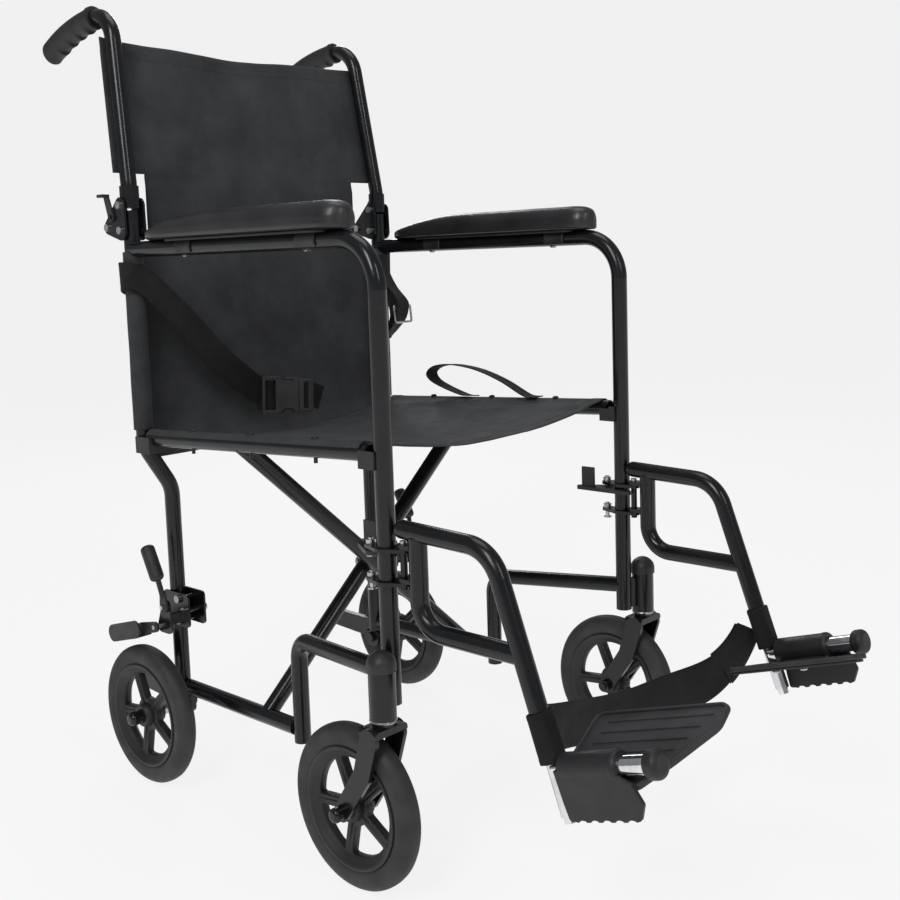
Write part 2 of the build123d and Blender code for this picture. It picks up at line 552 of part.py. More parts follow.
with BuildPart() as pivot:
    front_end, rear_end = BRACE_A_Y - BRACE_R, BRACE_B_Y + BRACE_R
    rod(at(0, front_end - 7, PIVOT_Z), at(0, rear_end + 6, PIVOT_Z), PIN_R)
    rod(at(0, front_end - 5.5, PIVOT_Z), at(0, front_end - CLEAR, PIVOT_Z), 7)
    rod(at(0, rear_end, PIVOT_Z), at(0, rear_end + 5, PIVOT_Z), 7)
    rod(at(0, BRACE_A_Y + BRACE_R + CLEAR, PIVOT_Z), at(0, BRACE_B_Y - BRACE_R, PIVOT_Z), 8)
save("pivot_bolt", pivot.part)


# ---------------------------------------------------------------- upholstery
seat_dir = Vector(0, SEAT_REAR[0] - SEAT_FRONT[0], SEAT_REAR[1] - SEAT_FRONT[1])
seat_plane = Plane(origin=rail_point(0.02, 0), x_dir=(1, 0, 0), z_dir=seat_dir)
low = -(TUBE_R + CLEAR)
with BuildPart() as seat:
    with BuildSketch(seat_plane):
        with BuildLine():
            Spline((-SIDE_X, low), (0, low + SEAT_SAG), (SIDE_X, low))
            Line((SIDE_X, low), (SIDE_X, low - SLING_T))
            Spline((SIDE_X, low - SLING_T), (0, low - SLING_T + SEAT_SAG), (-SIDE_X, low - SLING_T))
            Line((-SIDE_X, low - SLING_T), (-SIDE_X, low))
        make_face()
    extrude(amount=seat_dir.length * 0.95)
save("seat_sling", seat.part)

# webbing loop on the left seat rail, pulled up to fold the chair
with BuildPart() as loop_strap:
    with BuildSketch(Plane.YZ.offset(SIDE_X - 12)):
        base = rail_height(-230) + TUBE_R + 3
        arch = ((-118, base - 3), (-150, base + 28), (-235, base + 32), (-316, base + 6))
        with BuildLine():
            low = [at(0, y, z)[1:] for y, z in arch]
            high = [at(0, y, z + 2)[1:] for y, z in arch]
            Spline(*low)
            Line(low[-1], high[-1])
            Spline(*high[::-1])
            Line(high[0], low[0])
        make_face()
    extrude(amount=24)
save("pull_loop", loop_strap.part)

back_tilt = Vector(0, CANE_TOP[0], CANE_TOP[1] - HINGE_Z - 34)
behind = TUBE_R + 1.2
with BuildPart() as upper_back:
    normal = Vector(0, back_tilt.Z, -back_tilt.Y).normalized()
    base = Vector(*at(0, 0, HINGE_Z + 34)) + normal * behind
    with BuildSketch(Plane(origin=base, x_dir=(-1, 0, 0), z_dir=normal)):
        with BuildLine():
            Polyline(
                (-225, 20), (-186, 20), (-186, -44), (186, -44), (186, 20), (225, 20),
                (216, 200), (110, 191), (0, 188), (-110, 191), (-216, 200), (-225, 20),
            )
        make_face()
    extrude(amount=SLING_T)
save("upper_back_sling", upper_back.part)

with BuildPart() as lower_back:
    with BuildSketch(Plane.XZ.offset(-(AXLE_Y + behind))):
        with BuildLine():
            Polyline(
                (-225, 486), (-205, 486), (-165, LOW_BACK_Z), (165, LOW_BACK_Z), (205, 486), (225, 486), (225, 724), (186, 724), (186, 752),
                (-186, 752), (-186, 724), (-225, 724), (-225, 486),
            )
        make_face()
    extrude(amount=-SLING_T)
save("lower_back_sling", lower_back.part)

# wide strap behind the heels, looped round both hanger legs
leg_dir = Vector(0, LEG_END[0] - LEG_KNEE[0], LEG_END[1] - LEG_KNEE[1]).normalized()
strap_y, strap_z = on_leg(hypot(LEG_END[0] - LEG_KNEE[0], LEG_END[1] - LEG_KNEE[1]) - 52)
with BuildPart() as strap:
    end_x = HANGER_X - BAR_R - CLEAR
    with BuildSketch(Plane(origin=at(0, strap_y, strap_z), x_dir=(1, 0, 0), z_dir=leg_dir)):
        with BuildLine():
            Spline((-end_x, 2), (0, -STRAP_SAG), (end_x, 2))
            Line((end_x, 2), (end_x, 2 - SLING_T))
            Spline((end_x, 2 - SLING_T), (0, -STRAP_SAG - SLING_T), (-end_x, 2 - SLING_T))
            Line((-end_x, 2 - SLING_T), (-end_x, 2))
        make_face()
    extrude(amount=46)
save("heel_strap", strap.part)


# ---------------------------------------------------------------- lap belt
def webbing(points, width_dir, width, thick):
    """Flat strap along a chain of points, its width along width_dir."""
    for a, b in zip(points, points[1:]):
        va, vb = Vector(*a), Vector(*b)
        with BuildSketch(Plane(origin=va, x_dir=width_dir, z_dir=vb - va)) as end:
            Rectangle(width, thick)
        extrude(end.sketch, amount=(vb - va).length)


belt_y = -TUBE_R - 2
with BuildPart() as belt_right:
    webbing([at(-207, belt_y, 676), at(-36, belt_y, 505)], (0.7, 0, 0.7), 25, 1.8)
save("belt_right", belt_right.part)

with BuildPart() as buckle:
    with Locations(Location(at(-4, belt_y - 6, 500), (0, 8, 0))):
        Box(58, 14, 36)
    fillet(buckle.edges().filter_by(Axis.Y), 5)
    with Locations(Location(at(-36, belt_y, 505), (0, 45, 0))):
        Box(12, 10, 40, mode=Mode.SUBTRACT)
save("buckle", buckle.part)

with BuildPart() as belt_left:
    webbing([at(206, belt_y, 690), at(206, belt_y, 585)], (1, 0, 0), 25, 1.8)
with BuildPart() as slider:
    with Locations(at(206, belt_y - 1, 615)):
        Box(31, 4.4, 20)
    with Locations(at(206, belt_y, 615)):
        Box(25.2, 1.9, 30, mode=Mode.SUBTRACT)
save("belt_left", belt_left.part, slider.part)
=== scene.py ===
"""Folding transport wheelchair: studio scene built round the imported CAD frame.

Metres, +Z up, the chair faces -Y and the occupant's left is +X.
"""

import json
import math
import random

import bpy
from mathutils import Matrix, Vector, noise


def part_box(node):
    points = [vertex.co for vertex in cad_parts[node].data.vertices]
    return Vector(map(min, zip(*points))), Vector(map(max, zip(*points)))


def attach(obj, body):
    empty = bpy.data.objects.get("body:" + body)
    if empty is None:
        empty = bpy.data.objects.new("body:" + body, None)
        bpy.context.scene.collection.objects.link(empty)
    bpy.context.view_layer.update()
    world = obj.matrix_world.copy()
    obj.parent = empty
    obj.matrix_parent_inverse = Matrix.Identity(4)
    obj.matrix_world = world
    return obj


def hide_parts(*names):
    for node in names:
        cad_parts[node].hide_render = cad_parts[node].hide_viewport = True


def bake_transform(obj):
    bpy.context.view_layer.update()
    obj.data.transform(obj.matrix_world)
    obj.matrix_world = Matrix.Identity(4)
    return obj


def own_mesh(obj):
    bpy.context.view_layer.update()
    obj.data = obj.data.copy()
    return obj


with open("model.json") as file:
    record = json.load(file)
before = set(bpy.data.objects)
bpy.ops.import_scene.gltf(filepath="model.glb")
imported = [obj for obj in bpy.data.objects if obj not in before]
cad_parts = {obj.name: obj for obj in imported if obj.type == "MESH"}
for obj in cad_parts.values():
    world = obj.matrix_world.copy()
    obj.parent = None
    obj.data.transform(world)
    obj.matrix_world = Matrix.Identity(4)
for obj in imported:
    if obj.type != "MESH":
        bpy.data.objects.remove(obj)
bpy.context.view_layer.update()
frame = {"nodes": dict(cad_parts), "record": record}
random.seed(7)


# ---------------------------------------------------------------- sizes taken from the frame
def middle(node):
    low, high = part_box(node)
    return (low + high) / 2


def half(node):
    low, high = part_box(node)
    return (high - low) / 2


AXLE_Y = middle("left_rear_tyre").y
WHEEL_R = half("left_rear_tyre").z
TUBE_R = half("left_seat_rail").x
SIDE_X = middle("left_seat_rail").x
LEG_X = middle("left_hanger").x
SIDES = (("right", -1), ("left", 1))
ARM_Z = 0.725                 # centre line of the armrest tubes
CLOTH_T = 0.0014
RAIL_FRONT = (-0.448, 0.493)  # ends of the seat rails: length position from the rear axle, height
RAIL_REAR = (-0.0185, 0.475)
FOOT_RISE = math.radians(17.3)
FOOT_START = Vector((0, AXLE_Y - 0.681, 0.196))
PLATE_TILT = {-1: math.radians(26.0), 1: math.radians(11.5)}


def at(x, y, z):
    """A point, with its length position counted from the rear axle."""
    return Vector((x, AXLE_Y + y, z))


# ---------------------------------------------------------------- materials
def new_material(name, colour, rough, metal=0.0, coat=0.0, sheen=0.0, specular=0.5):
    mat = bpy.data.materials.new(name)
    mat.use_nodes = True
    values = {
        "Base Color": (*colour, 1), "Roughness": rough, "Metallic": metal, "Specular IOR Level": specular,
        "Coat Weight": coat, "Coat Roughness": 0.08, "Sheen Weight": sheen, "Sheen Roughness": 0.5,
    }
    for socket, value in values.items():
        shader_of(mat).inputs[socket].default_value = value
    return mat


def shader_of(mat):
    return mat.node_tree.nodes["Principled BSDF"]


def link(mat, output, socket):
    mat.node_tree.links.new(output, socket)


def add(mat, kind, **values):
    node = mat.node_tree.nodes.new(kind)
    for key, value in values.items():
        if key in node.inputs:
            node.inputs[key].default_value = value
        else:
            setattr(node, key, value)
    return node


def coords(mat):
    return add(mat, "ShaderNodeTexCoord").outputs["Object"]


def noise_of(mat, scale, detail=4.0, rough=0.55):
    node = add(mat, "ShaderNodeTexNoise", Scale=scale, Detail=detail, Roughness=rough)
    link(mat, coords(mat), node.inputs["Vector"])
    return node.outputs["Fac"]


def colour_from(mat, fac, dark, light, low=0.35, high=0.68):
    ramp = add(mat, "ShaderNodeValToRGB")
    for stop, place, colour in zip(ramp.color_ramp.elements, (low, high), (dark, light)):
        stop.position, stop.color = place, (*colour, 1)
    link(mat, fac, ramp.inputs["Fac"])
    link(mat, ramp.outputs["Color"], shader_of(mat).inputs["Base Color"])


def rough_from(mat, fac, low, high):
    span = {"From Min": 0.3, "From Max": 0.7, "To Min": low, "To Max": high}
    scaled = add(mat, "ShaderNodeMapRange", **span)
    link(mat, fac, scaled.inputs["Value"])
    link(mat, scaled.outputs["Result"], shader_of(mat).inputs["Roughness"])


def bump_from(mat, heights):
    """heights is a list of (output, depth in metres), joined one after another."""
    previous = None
    for height, depth in heights:
        bump = add(mat, "ShaderNodeBump", Distance=depth, Strength=1.0)
        link(mat, height, bump.inputs["Height"])
        if previous:
            link(mat, previous, bump.inputs["Normal"])
        previous = bump.outputs["Normal"]
    link(mat, previous, shader_of(mat).inputs["Normal"])


def waves(mat, direction, period):
    node = add(mat, "ShaderNodeTexWave", Scale=0.314 / period, Distortion=0.6)
    node.wave_type = "BANDS"
    node.bands_direction = direction
    node.inputs["Detail"].default_value = 1.0
    node.inputs["Detail Scale"].default_value = 2.0
    link(mat, coords(mat), node.inputs["Vector"])
    return node.outputs["Fac"]


def woven(name, dark, light, period, across="X", along="Y", sheen=0.06, depth=0.00012):
    mat = new_material(name, light, 0.8, sheen=sheen, specular=0.2)
    colour_from(mat, noise_of(mat, 14, 6, 0.6), dark, light)
    rough_from(mat, noise_of(mat, 60), 0.72, 0.9)
    bump_from(mat, [
        (waves(mat, across, period), depth),
        (waves(mat, along, period), depth),
        (noise_of(mat, 40, 5), 0.0006),
    ])
    return mat


def painted():
    mat = new_material("frame_gloss", (0.006, 0.0066, 0.0076), 0.2, coat=0.08, specular=0.36)
    colour_from(mat, noise_of(mat, 30, 5), (0.0045, 0.005, 0.006), (0.0085, 0.009, 0.0105))
    rough_from(mat, noise_of(mat, 22, 6), 0.16, 0.3)
    bump_from(mat, [(noise_of(mat, 260, 2), 0.00004)])
    return mat


def moulded(name, dark, light, rough=(0.4, 0.58), grain=900):
    mat = new_material(name, light, rough[0], specular=0.45)
    colour_from(mat, noise_of(mat, 24, 5), dark, light)
    rough_from(mat, noise_of(mat, 35, 5), *rough)
    bump_from(mat, [(noise_of(mat, grain, 3), 0.00012), (noise_of(mat, 60, 3), 0.0002)])
    return mat


def metal(name, dark, light, rough):
    mat = new_material(name, light, rough[0], metal=1.0)
    colour_from(mat, noise_of(mat, 55, 5), dark, light)
    rough_from(mat, noise_of(mat, 120, 5), *rough)
    bump_from(mat, [(noise_of(mat, 500, 3), 0.00003)])
    return mat


def vinyl():
    mat = new_material("pad_vinyl", (0.016, 0.016, 0.017), 0.34, specular=0.5, coat=0.12)
    colour_from(mat, noise_of(mat, 20, 6), (0.0095, 0.0095, 0.0105), (0.019, 0.019, 0.021))
    rough_from(mat, noise_of(mat, 26, 5), 0.3, 0.46)
    cells = add(mat, "ShaderNodeTexVoronoi", Scale=620.0)
    link(mat, coords(mat), cells.inputs["Vector"])
    bump_from(mat, [(cells.outputs["Distance"], 0.00014), (noise_of(mat, 30, 4), 0.0005)])
    return mat


PAINT = painted()
PLASTIC = moulded("black_moulding", (0.013, 0.013, 0.0145), (0.022, 0.022, 0.024))
RIM = moulded("rim_moulding", (0.012, 0.012, 0.0135), (0.021, 0.021, 0.023), (0.42, 0.6))
TYRE = moulded("tyre_rubber", (0.021, 0.021, 0.022), (0.036, 0.036, 0.038), (0.56, 0.78), 420)
RUBBER = moulded("grip_rubber", (0.010, 0.010, 0.011), (0.018, 0.018, 0.019), (0.5, 0.7), 700)
VINYL = vinyl()
ZINC = metal("zinc_plate", (0.34, 0.34, 0.35), (0.62, 0.62, 0.63), (0.22, 0.42))
CHROME = metal("bright_chrome", (0.62, 0.62, 0.64), (0.86, 0.86, 0.88), (0.04, 0.14))
BACK_CLOTH = woven("back_nylon", (0.027, 0.028, 0.030), (0.047, 0.0485, 0.051), 0.0017, "X", "Z")
# The seat's nylon is the back's nylon painted a little lighter, as painted light falling on it from above.
LIT_SEAT_CLOTH = woven("seat_nylon_painted_lighter", (0.030, 0.031, 0.033), (0.050, 0.0515, 0.055), 0.0017, "X", "Y")
STRAP = woven("strap_web", (0.009, 0.009, 0.010), (0.017, 0.017, 0.018), 0.0022, "X", "Z", 0.04)
PLATE = moulded("plate_moulding", (0.022, 0.022, 0.024), (0.036, 0.036, 0.039), (0.5, 0.68), 600)
THREAD = new_material("thread", (0.03, 0.03, 0.032), 0.6)
colour_from(THREAD, noise_of(THREAD, 300), (0.02, 0.02, 0.022), (0.045, 0.045, 0.048))


# ---------------------------------------------------------------- mesh helpers
def new_object(name, data):
    obj = bpy.data.objects.new(name, data)
    bpy.context.scene.collection.objects.link(obj)
    return obj


def make(name, verts, faces, materials, face_material=None, smooth=True):
    mesh = bpy.data.meshes.new(name)
    mesh.from_pydata([tuple(v) for v in verts], [], faces)
    mesh.validate()
    for mat in materials if isinstance(materials, (list, tuple)) else [materials]:
        mesh.materials.append(mat)
    if face_material:
        mesh.polygons.foreach_set("material_index", face_material)
    mesh.polygons.foreach_set("use_smooth", [smooth] * len(mesh.polygons))
    mesh.update()
    return new_object(name, mesh)


def keep(obj, body, slot, *nodes):
    """obj rides on the body and stands for the CAD nodes; slot is not used."""
    if nodes:
        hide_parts(*nodes)
    if body:
        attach(obj, body)
    return obj


def join(name, parts):
    """One object from several, keeping each part's materials."""
    verts, faces, owner, materials = [], [], [], []
    for part in parts:
        mesh = part.data
        base, slots = len(verts), []
        for mat in mesh.materials:
            if mat not in materials:
                materials.append(mat)
            slots.append(materials.index(mat))
        verts += [part.matrix_world @ v.co for v in mesh.vertices]
        for poly in mesh.polygons:
            faces.append([base + i for i in poly.vertices])
            owner.append(slots[poly.material_index])
        bpy.data.objects.remove(part)
    return make(name, verts, faces, materials, owner)


def apply_all(obj):
    """The object's modifiers, written into its mesh."""
    bpy.context.view_layer.update()
    done = bpy.data.meshes.new_from_object(obj.evaluated_get(bpy.context.evaluated_depsgraph_get()))
    obj.modifiers.clear()
    obj.data = done
    return obj


def sharp(obj, angle=40):
    """Smooth shading with hard edges where faces meet at more than the angle."""
    mesh = obj.data
    mesh.polygons.foreach_set("use_smooth", [True] * len(mesh.polygons))
    mesh.set_sharp_from_angle(angle=math.radians(angle))
    return obj


def ring_faces(rows, count, closed_rows=False, caps=False):
    faces = []
    last = rows if closed_rows else rows - 1
    for i in range(last):
        a, b = i * count, (i + 1) % rows * count
        for j in range(count):
            k = (j + 1) % count
            faces.append((a + j, a + k, b + k, b + j))
    if caps:
        faces.append(tuple(range(count))[::-1])
        faces.append(tuple((rows - 1) * count + j for j in range(count)))
    return faces


def lathe(name, centre, axis, profile, mat, count=64, closed=True):
    """Body of revolution. profile is a list of (distance along the axis, radius)."""
    axis = Vector(axis).normalized()
    side = axis.orthogonal().normalized()
    other = axis.cross(side)
    verts = []
    for along, radius in profile:
        for j in range(count):
            a = 2 * math.pi * j / count
            verts.append(centre + axis * along + (side * math.cos(a) + other * math.sin(a)) * radius)
    return make(name, verts, ring_faces(len(profile), count, closed, not closed), mat)


def smooth_path(points, per=10):
    """Points on a Catmull-Rom curve through the given ones."""
    pts = [Vector(p) for p in points]
    pts = [2 * pts[0] - pts[1]] + pts + [2 * pts[-1] - pts[-2]]
    out = []
    for i in range(1, len(pts) - 2):
        p0, p1, p2, p3 = pts[i - 1:i + 3]
        for k in range(per):
            t = k / per
            out.append(0.5 * (2 * p1 + (p2 - p0) * t + (2 * p0 - 5 * p1 + 4 * p2 - p3) * t * t
                              + (3 * p1 - p0 - 3 * p2 + p3) * t ** 3))
    out.append(pts[-2])
    return out


def section_sweep(name, path, section, up, mat, closed=False):
    """Sweeps a closed section of (across, normal) points along a path; up(i) gives the normal there."""
    verts, n = [], len(path)
    for i, p in enumerate(path):
        ahead = path[(i + 1) % n] if closed else path[min(i + 1, n - 1)]
        behind = path[i - 1] if closed else path[max(i - 1, 0)]
        tangent = (ahead - behind).normalized()
        normal = up(i / (n - 1)) if callable(up) else Vector(up)
        across = tangent.cross(normal).normalized()
        normal = across.cross(tangent).normalized()
        shape = section(i / (n - 1)) if callable(section) else section
        for u, v in shape:
            verts.append(p + across * u + normal * v)
    return make(name, verts, ring_faces(n, len(verts) // n, closed, not closed), mat)


def strap_section(width, thick, edge=0.35):
    """Flat webbing with rounded selvedges and a slight rib beside each."""
    w, t = width / 2, thick / 2
    return [
        (-w, -t * edge), (-w + t, -t), (-w * 0.8, -t), (-w * 0.74, -t * 0.8), (w * 0.74, -t * 0.8),
        (w * 0.8, -t), (w - t, -t), (w, -t * edge), (w, t * edge), (w - t, t), (w * 0.8, t),
        (w * 0.74, t * 0.8), (-w * 0.74, t * 0.8), (-w * 0.8, t), (-w + t, t), (-w, t * edge),
    ]


def circle_section(radius, count=20):
    return [(radius * math.cos(2 * math.pi * k / count), radius * math.sin(2 * math.pi * k / count))
            for k in range(count)]


def prism(name, outline, to_world, thick, mat, edge=0.0008, holes=()):
    """Plate from a 2D outline, extruded both ways, with rounded edges. to_world places its plane."""
    curve = bpy.data.curves.new(name, "CURVE")
    curve.dimensions, curve.fill_mode = "2D", "BOTH"
    for line in (outline, *holes):
        spline = curve.splines.new("POLY")
        spline.points.add(len(line) - 1)
        for point, (u, v) in zip(spline.points, line):
            point.co = (u, v, 0, 1)
        spline.use_cyclic_u = True
    curve.extrude = thick / 2 - edge
    curve.bevel_depth, curve.bevel_resolution, curve.offset = edge, 2, -edge
    shape = new_object(name, curve)
    bpy.context.view_layer.update()
    mesh = bpy.data.meshes.new_from_object(shape.evaluated_get(bpy.context.evaluated_depsgraph_get()))
    bpy.data.objects.remove(shape)
    mesh.transform(to_world)
    mesh.materials.clear()
    mesh.materials.append(mat)
    return sharp(new_object(name, mesh), 30)


def rounded(points, radius, steps=5):
    """A polygon's corners as arcs of the radius, or of a point's own third number where it has one."""
    out, n = [], len(points)
    for i, point in enumerate(points):
        p = Vector(point[:2])
        r = point[2] if len(point) > 2 else radius
        a = (Vector(points[i - 1][:2]) - p)
        b = (Vector(points[(i + 1) % n][:2]) - p)
        a_len, b_len = a.length, b.length
        a, b = a / a_len, b / b_len
        turn = math.acos(max(-1, min(1, a.dot(b))))
        if r <= 0 or turn > math.pi - 0.05:
            out.append(tuple(p))
            continue
        reach = min(r / math.tan(turn / 2), a_len * 0.48, b_len * 0.48)
        for k in range(steps + 1):
            t = k / steps
            q = p + a * reach * (1 - t) ** 2 + b * reach * t ** 2
            out.append(tuple(q))
    return out


def arc(centre, radius, a0, a1, steps):
    return [(centre[0] + radius * math.cos(a0 + (a1 - a0) * k / steps),
             centre[1] + radius * math.sin(a0 + (a1 - a0) * k / steps)) for k in range(steps + 1)]


def placed(origin, x_axis, y_axis):
    """Matrix of a plane with that origin and those two directions."""
    x = Vector(x_axis).normalized()
    z = x.cross(Vector(y_axis)).normalized()
    y = z.cross(x)
    return Matrix.Translation(origin) @ Matrix((x, y, z)).transposed().to_4x4()


def spread(*stops):
    """Values from stop to stop; each stop after the first is (value, steps)."""
    out = [stops[0]]
    for value, steps in stops[1:]:
        start = out[-1]
        out += [start + (value - start) * k / steps for k in range(1, steps + 1)]
    return out


def grid_cloth(name, us, vs, point, mat, thick=CLOTH_T, keep_face=lambda u, v: True):
    """Cloth over a grid of chosen lines, with the faces that keep_face refuses left out and rounded hems."""
    n = len(us)
    verts = [point(u, v) for v in vs for u in us]
    faces = []
    for j in range(len(vs) - 1):
        for i in range(n - 1):
            if keep_face((us[i] + us[i + 1]) / 2, (vs[j] + vs[j + 1]) / 2):
                faces.append((j * n + i, j * n + i + 1, (j + 1) * n + i + 1, (j + 1) * n + i))
    used = sorted({i for f in faces for i in f})
    index = {old: new for new, old in enumerate(used)}
    obj = make(name, [verts[i] for i in used], [[index[i] for i in f] for f in faces], mat)
    solid = obj.modifiers.new("thick", "SOLIDIFY")
    solid.thickness, solid.offset = thick, 0
    return apply_all(obj)


def stitches(name, path, normal, pitch=0.0045, length=0.003, radius=0.0003):
    """A row of thread stitches lying along the path."""
    verts, faces, travelled, due = [], [], 0.0, pitch
    for a, b in zip(path, path[1:]):
        step = (b - a).length
        while travelled + step >= due:
            t = (due - travelled) / step
            mid, along = a.lerp(b, t), (b - a).normalized()
            up = normal(mid) if callable(normal) else Vector(normal)
            side = along.cross(up).normalized()
            base = len(verts)
            for s, lift, r in ((-0.5, -0.3, 0.4), (-0.25, 0.6, 1), (0.25, 0.6, 1), (0.5, -0.3, 0.4)):
                for k in range(5):
                    a5 = 2 * math.pi * k / 5
                    verts.append(mid + along * length * s + up * radius * lift
                                 + (side * math.cos(a5) + up * math.sin(a5)) * radius * r)
            for row in range(3):
                for k in range(5):
                    p, q = base + row * 5 + k, base + row * 5 + (k + 1) % 5
                    faces.append((p, q, q + 5, p + 5))
            due += pitch
        travelled += step
    return make(name, verts, faces, THREAD)


# ---------------------------------------------------------------- CAD nodes that stay
FINISH = {
    "frame_paint": PAINT, "black_plastic": PLASTIC, "rim_plastic": RIM, "zinc_steel": ZINC, "chrome": CHROME,
    "vinyl": VINYL, "tyre": TYRE, "grip_rubber": RUBBER, "nylon": BACK_CLOTH, "webbing": STRAP,
}


def dress_cad():
    slots = {s["node"]: s["material_slot"] for s in frame["record"]["subparts"]}
    for name, obj in frame["nodes"].items():
        obj.data.materials.clear()
        obj.data.materials.append(FINISH[slots[name]])
    for side, s in SIDES:
        two_tone(f"{side}_hardware", PAINT, ZINC, lambda p: is_fixing(abs(p.x), p.y - AXLE_Y, p.z))
        two_tone(f"{side}_rear_axle", PAINT, ZINC,
                 lambda p: 0.195 < abs(p.x) < 0.2228 and abs(p.z - WHEEL_R) < 0.009)
        two_tone(f"{side}_foot_post", CHROME, PLASTIC, lambda p: forward_on_foot(p) > 0.1238)
        for node in ("latch", "release_lever", "lock_lever", "lock_shoe"):
            frame["nodes"][f"{side}_{node}"].data.materials[0] = PLASTIC


def two_tone(name, first, second, is_second):
    """Two finishes on one CAD node, chosen face by face."""
    obj = frame["nodes"][name]
    obj.data.materials.clear()
    obj.data.materials.append(first)
    obj.data.materials.append(second)
    for poly in obj.data.polygons:
        poly.material_index = int(is_second(obj.matrix_world @ poly.center))


def is_fixing(x, y, z):
    """Whether a spot on the hardware belongs to a bolt head, a nut or a pin, not to a plate."""
    for hinge_y, hinge_z in ((0, 0.750), (0, 0.783), (0.030, 0.755)):
        if math.hypot(y - hinge_y, z - hinge_z) < 0.0056 and abs(x - SIDE_X) > 0.0161:
            return True
    if 0.33 < z < 0.41:
        on_plate = min(abs(z - 0.352), abs(z - 0.389)) < 0.00205
        plate_bolt = math.hypot(x - SIDE_X, y + 0.441) < 0.006
        hinge_pin = z > 0.392 and math.hypot(x - 0.218, y + 0.488) < 0.0045
        return (plate_bolt or hinge_pin) and not on_plate
    if 0.2 < z < 0.27:
        if math.hypot(y + 0.040, z - 0.250) < 0.0035 or math.hypot(y + 0.028, z - 0.222) < 0.0035:
            return x > 0.2311
        return abs(x - 0.184) > 0.0141 and x < 0.2025 and y < -0.014
    return False


def forward_on_foot(p):
    """How far a point lies forward along the footrest tube."""
    return -(p.y - FOOT_START.y) * math.cos(FOOT_RISE) + (p.z - FOOT_START.z) * math.sin(FOOT_RISE)


# ---------------------------------------------------------------- wheels
SPOKES = 5
SPOKE_TURN = math.radians(66)
SPOKE_W = 0.0125


def tyre(name, centre, body):
    """Solid tyre: round tread, a groove beside it and a lip where it meets the rim."""
    w, r = 0.0130, WHEEL_R
    outer = [
        (0.0105, r * 0.748), (0.0112, r * 0.762), (0.0119, r * 0.775), (0.0124, r * 0.80), (w, r * 0.845),
        (w, r * 0.885), (0.0121, r * 0.925), (0.0103, r * 0.958), (0.0096, r * 0.962), (0.0088, r * 0.972),
        (0.0060, r * 0.991), (0.0030, r * 0.998), (0, r),
    ]
    profile = outer + [(-x, z) for x, z in outer[-2::-1]]
    obj = lathe(name, centre, (1, 0, 0), profile, TYRE, 128)
    return keep(sharp(obj, 50), body, "tyre", name)


def rim(name, centre, body):
    """Five-spoke moulded rim, with its ribs, hub and the two bearings."""
    bead, band, hub = WHEEL_R * 0.747, WHEEL_R * 0.60, 0.0165
    windows = []
    for k in range(SPOKES):
        a0 = SPOKE_TURN + 2 * math.pi * k / SPOKES
        a1 = a0 + 2 * math.pi / SPOKES
        h_out, h_in = math.asin(SPOKE_W / 2 / band), math.asin(SPOKE_W / 2 / (hub + 0.006))
        line = arc((0, 0), band, a0 + h_out, a1 - h_out, 14)
        line += arc((0, 0), hub + 0.006, a1 - h_in, a0 + h_in, 3)
        corners = [(*p, 0.005 if i in (0, 14) else 0.0025 if i > 14 else 0) for i, p in enumerate(line)]
        windows.append(rounded(corners, 0, 5))
    plane = placed(centre, (0, 1, 0), (0, 0, 1))
    web = prism(name + "_web", arc((0, 0), WHEEL_R * 0.66, 0, 2 * math.pi * 79 / 80, 79), plane, 0.011, RIM,
                0.0016, windows)
    ring = [
        (0.0104, bead), (0.0124, bead - 0.0006), (0.0128, bead - 0.0022), (0.0122, bead - 0.0042),
        (0.0100, bead - 0.0062), (0.0070, band + 0.0035), (0.0050, band + 0.0008), (0.0030, band - 0.0004),
    ]
    ring = [(-x, r) for x, r in ring] + ring[::-1]
    barrel = lathe(name + "_ring", centre, (1, 0, 0), ring, RIM, 96)
    half_hub = 0.015
    hub_line = [(half_hub, 0.0092), (half_hub, 0.0135), (half_hub - 0.0012, 0.0148), (0.0055, hub)]
    hub_line = [(-x, r) for x, r in hub_line] + hub_line[::-1]
    boss = lathe(name + "_hub", centre, (1, 0, 0), hub_line, RIM, 48)
    parts = [web, barrel, boss]
    for e in (-1, 1):
        race = [(e * 0.0149, 0.0052), (e * 0.0149, 0.0064), (e * 0.0143, 0.0067), (e * 0.0143, 0.0079),
                (e * 0.0149, 0.0082), (e * 0.0149, 0.0091), (e * 0.009, 0.0091), (e * 0.009, 0.0052)]
        parts.append(lathe(name + "_race", centre, (1, 0, 0), race, ZINC, 40))
    for k in range(SPOKES):
        a = SPOKE_TURN + 2 * math.pi * k / SPOKES
        out = Vector((0, math.cos(a), math.sin(a)))
        for e in (-1, 1):
            path = [centre + out * r + Vector((e * (0.0058 - 0.0006 * i), 0, 0))
                    for i, r in enumerate((hub - 0.001, 0.03, 0.045, band + 0.003))]
            parts.append(section_sweep(name + "_rib", path, circle_section(0.0021, 10), (1, 0, 0), RIM))
    obj = join(name, parts)
    return keep(sharp(obj, 40), body, "rim_plastic", name)


def wheels():
    for corner in ("right_front", "right_rear", "left_front", "left_rear"):
        centre = middle(f"{corner}_tyre")
        tyre(f"{corner}_tyre", centre, f"{corner}_wheel")
        rim(f"{corner}_rim", centre, f"{corner}_wheel")


# ---------------------------------------------------------------- upholstery
def creases(p, scale, amount, seed=0.0):
    """Soft, slightly directional unevenness of stretched cloth."""
    q = Vector((p.x * scale, p.y * scale + seed, p.z * scale * 0.45))
    return amount * (noise.noise(q) + 0.45 * noise.noise(q * 2.3) + 0.2 * noise.noise(q * 5.1))


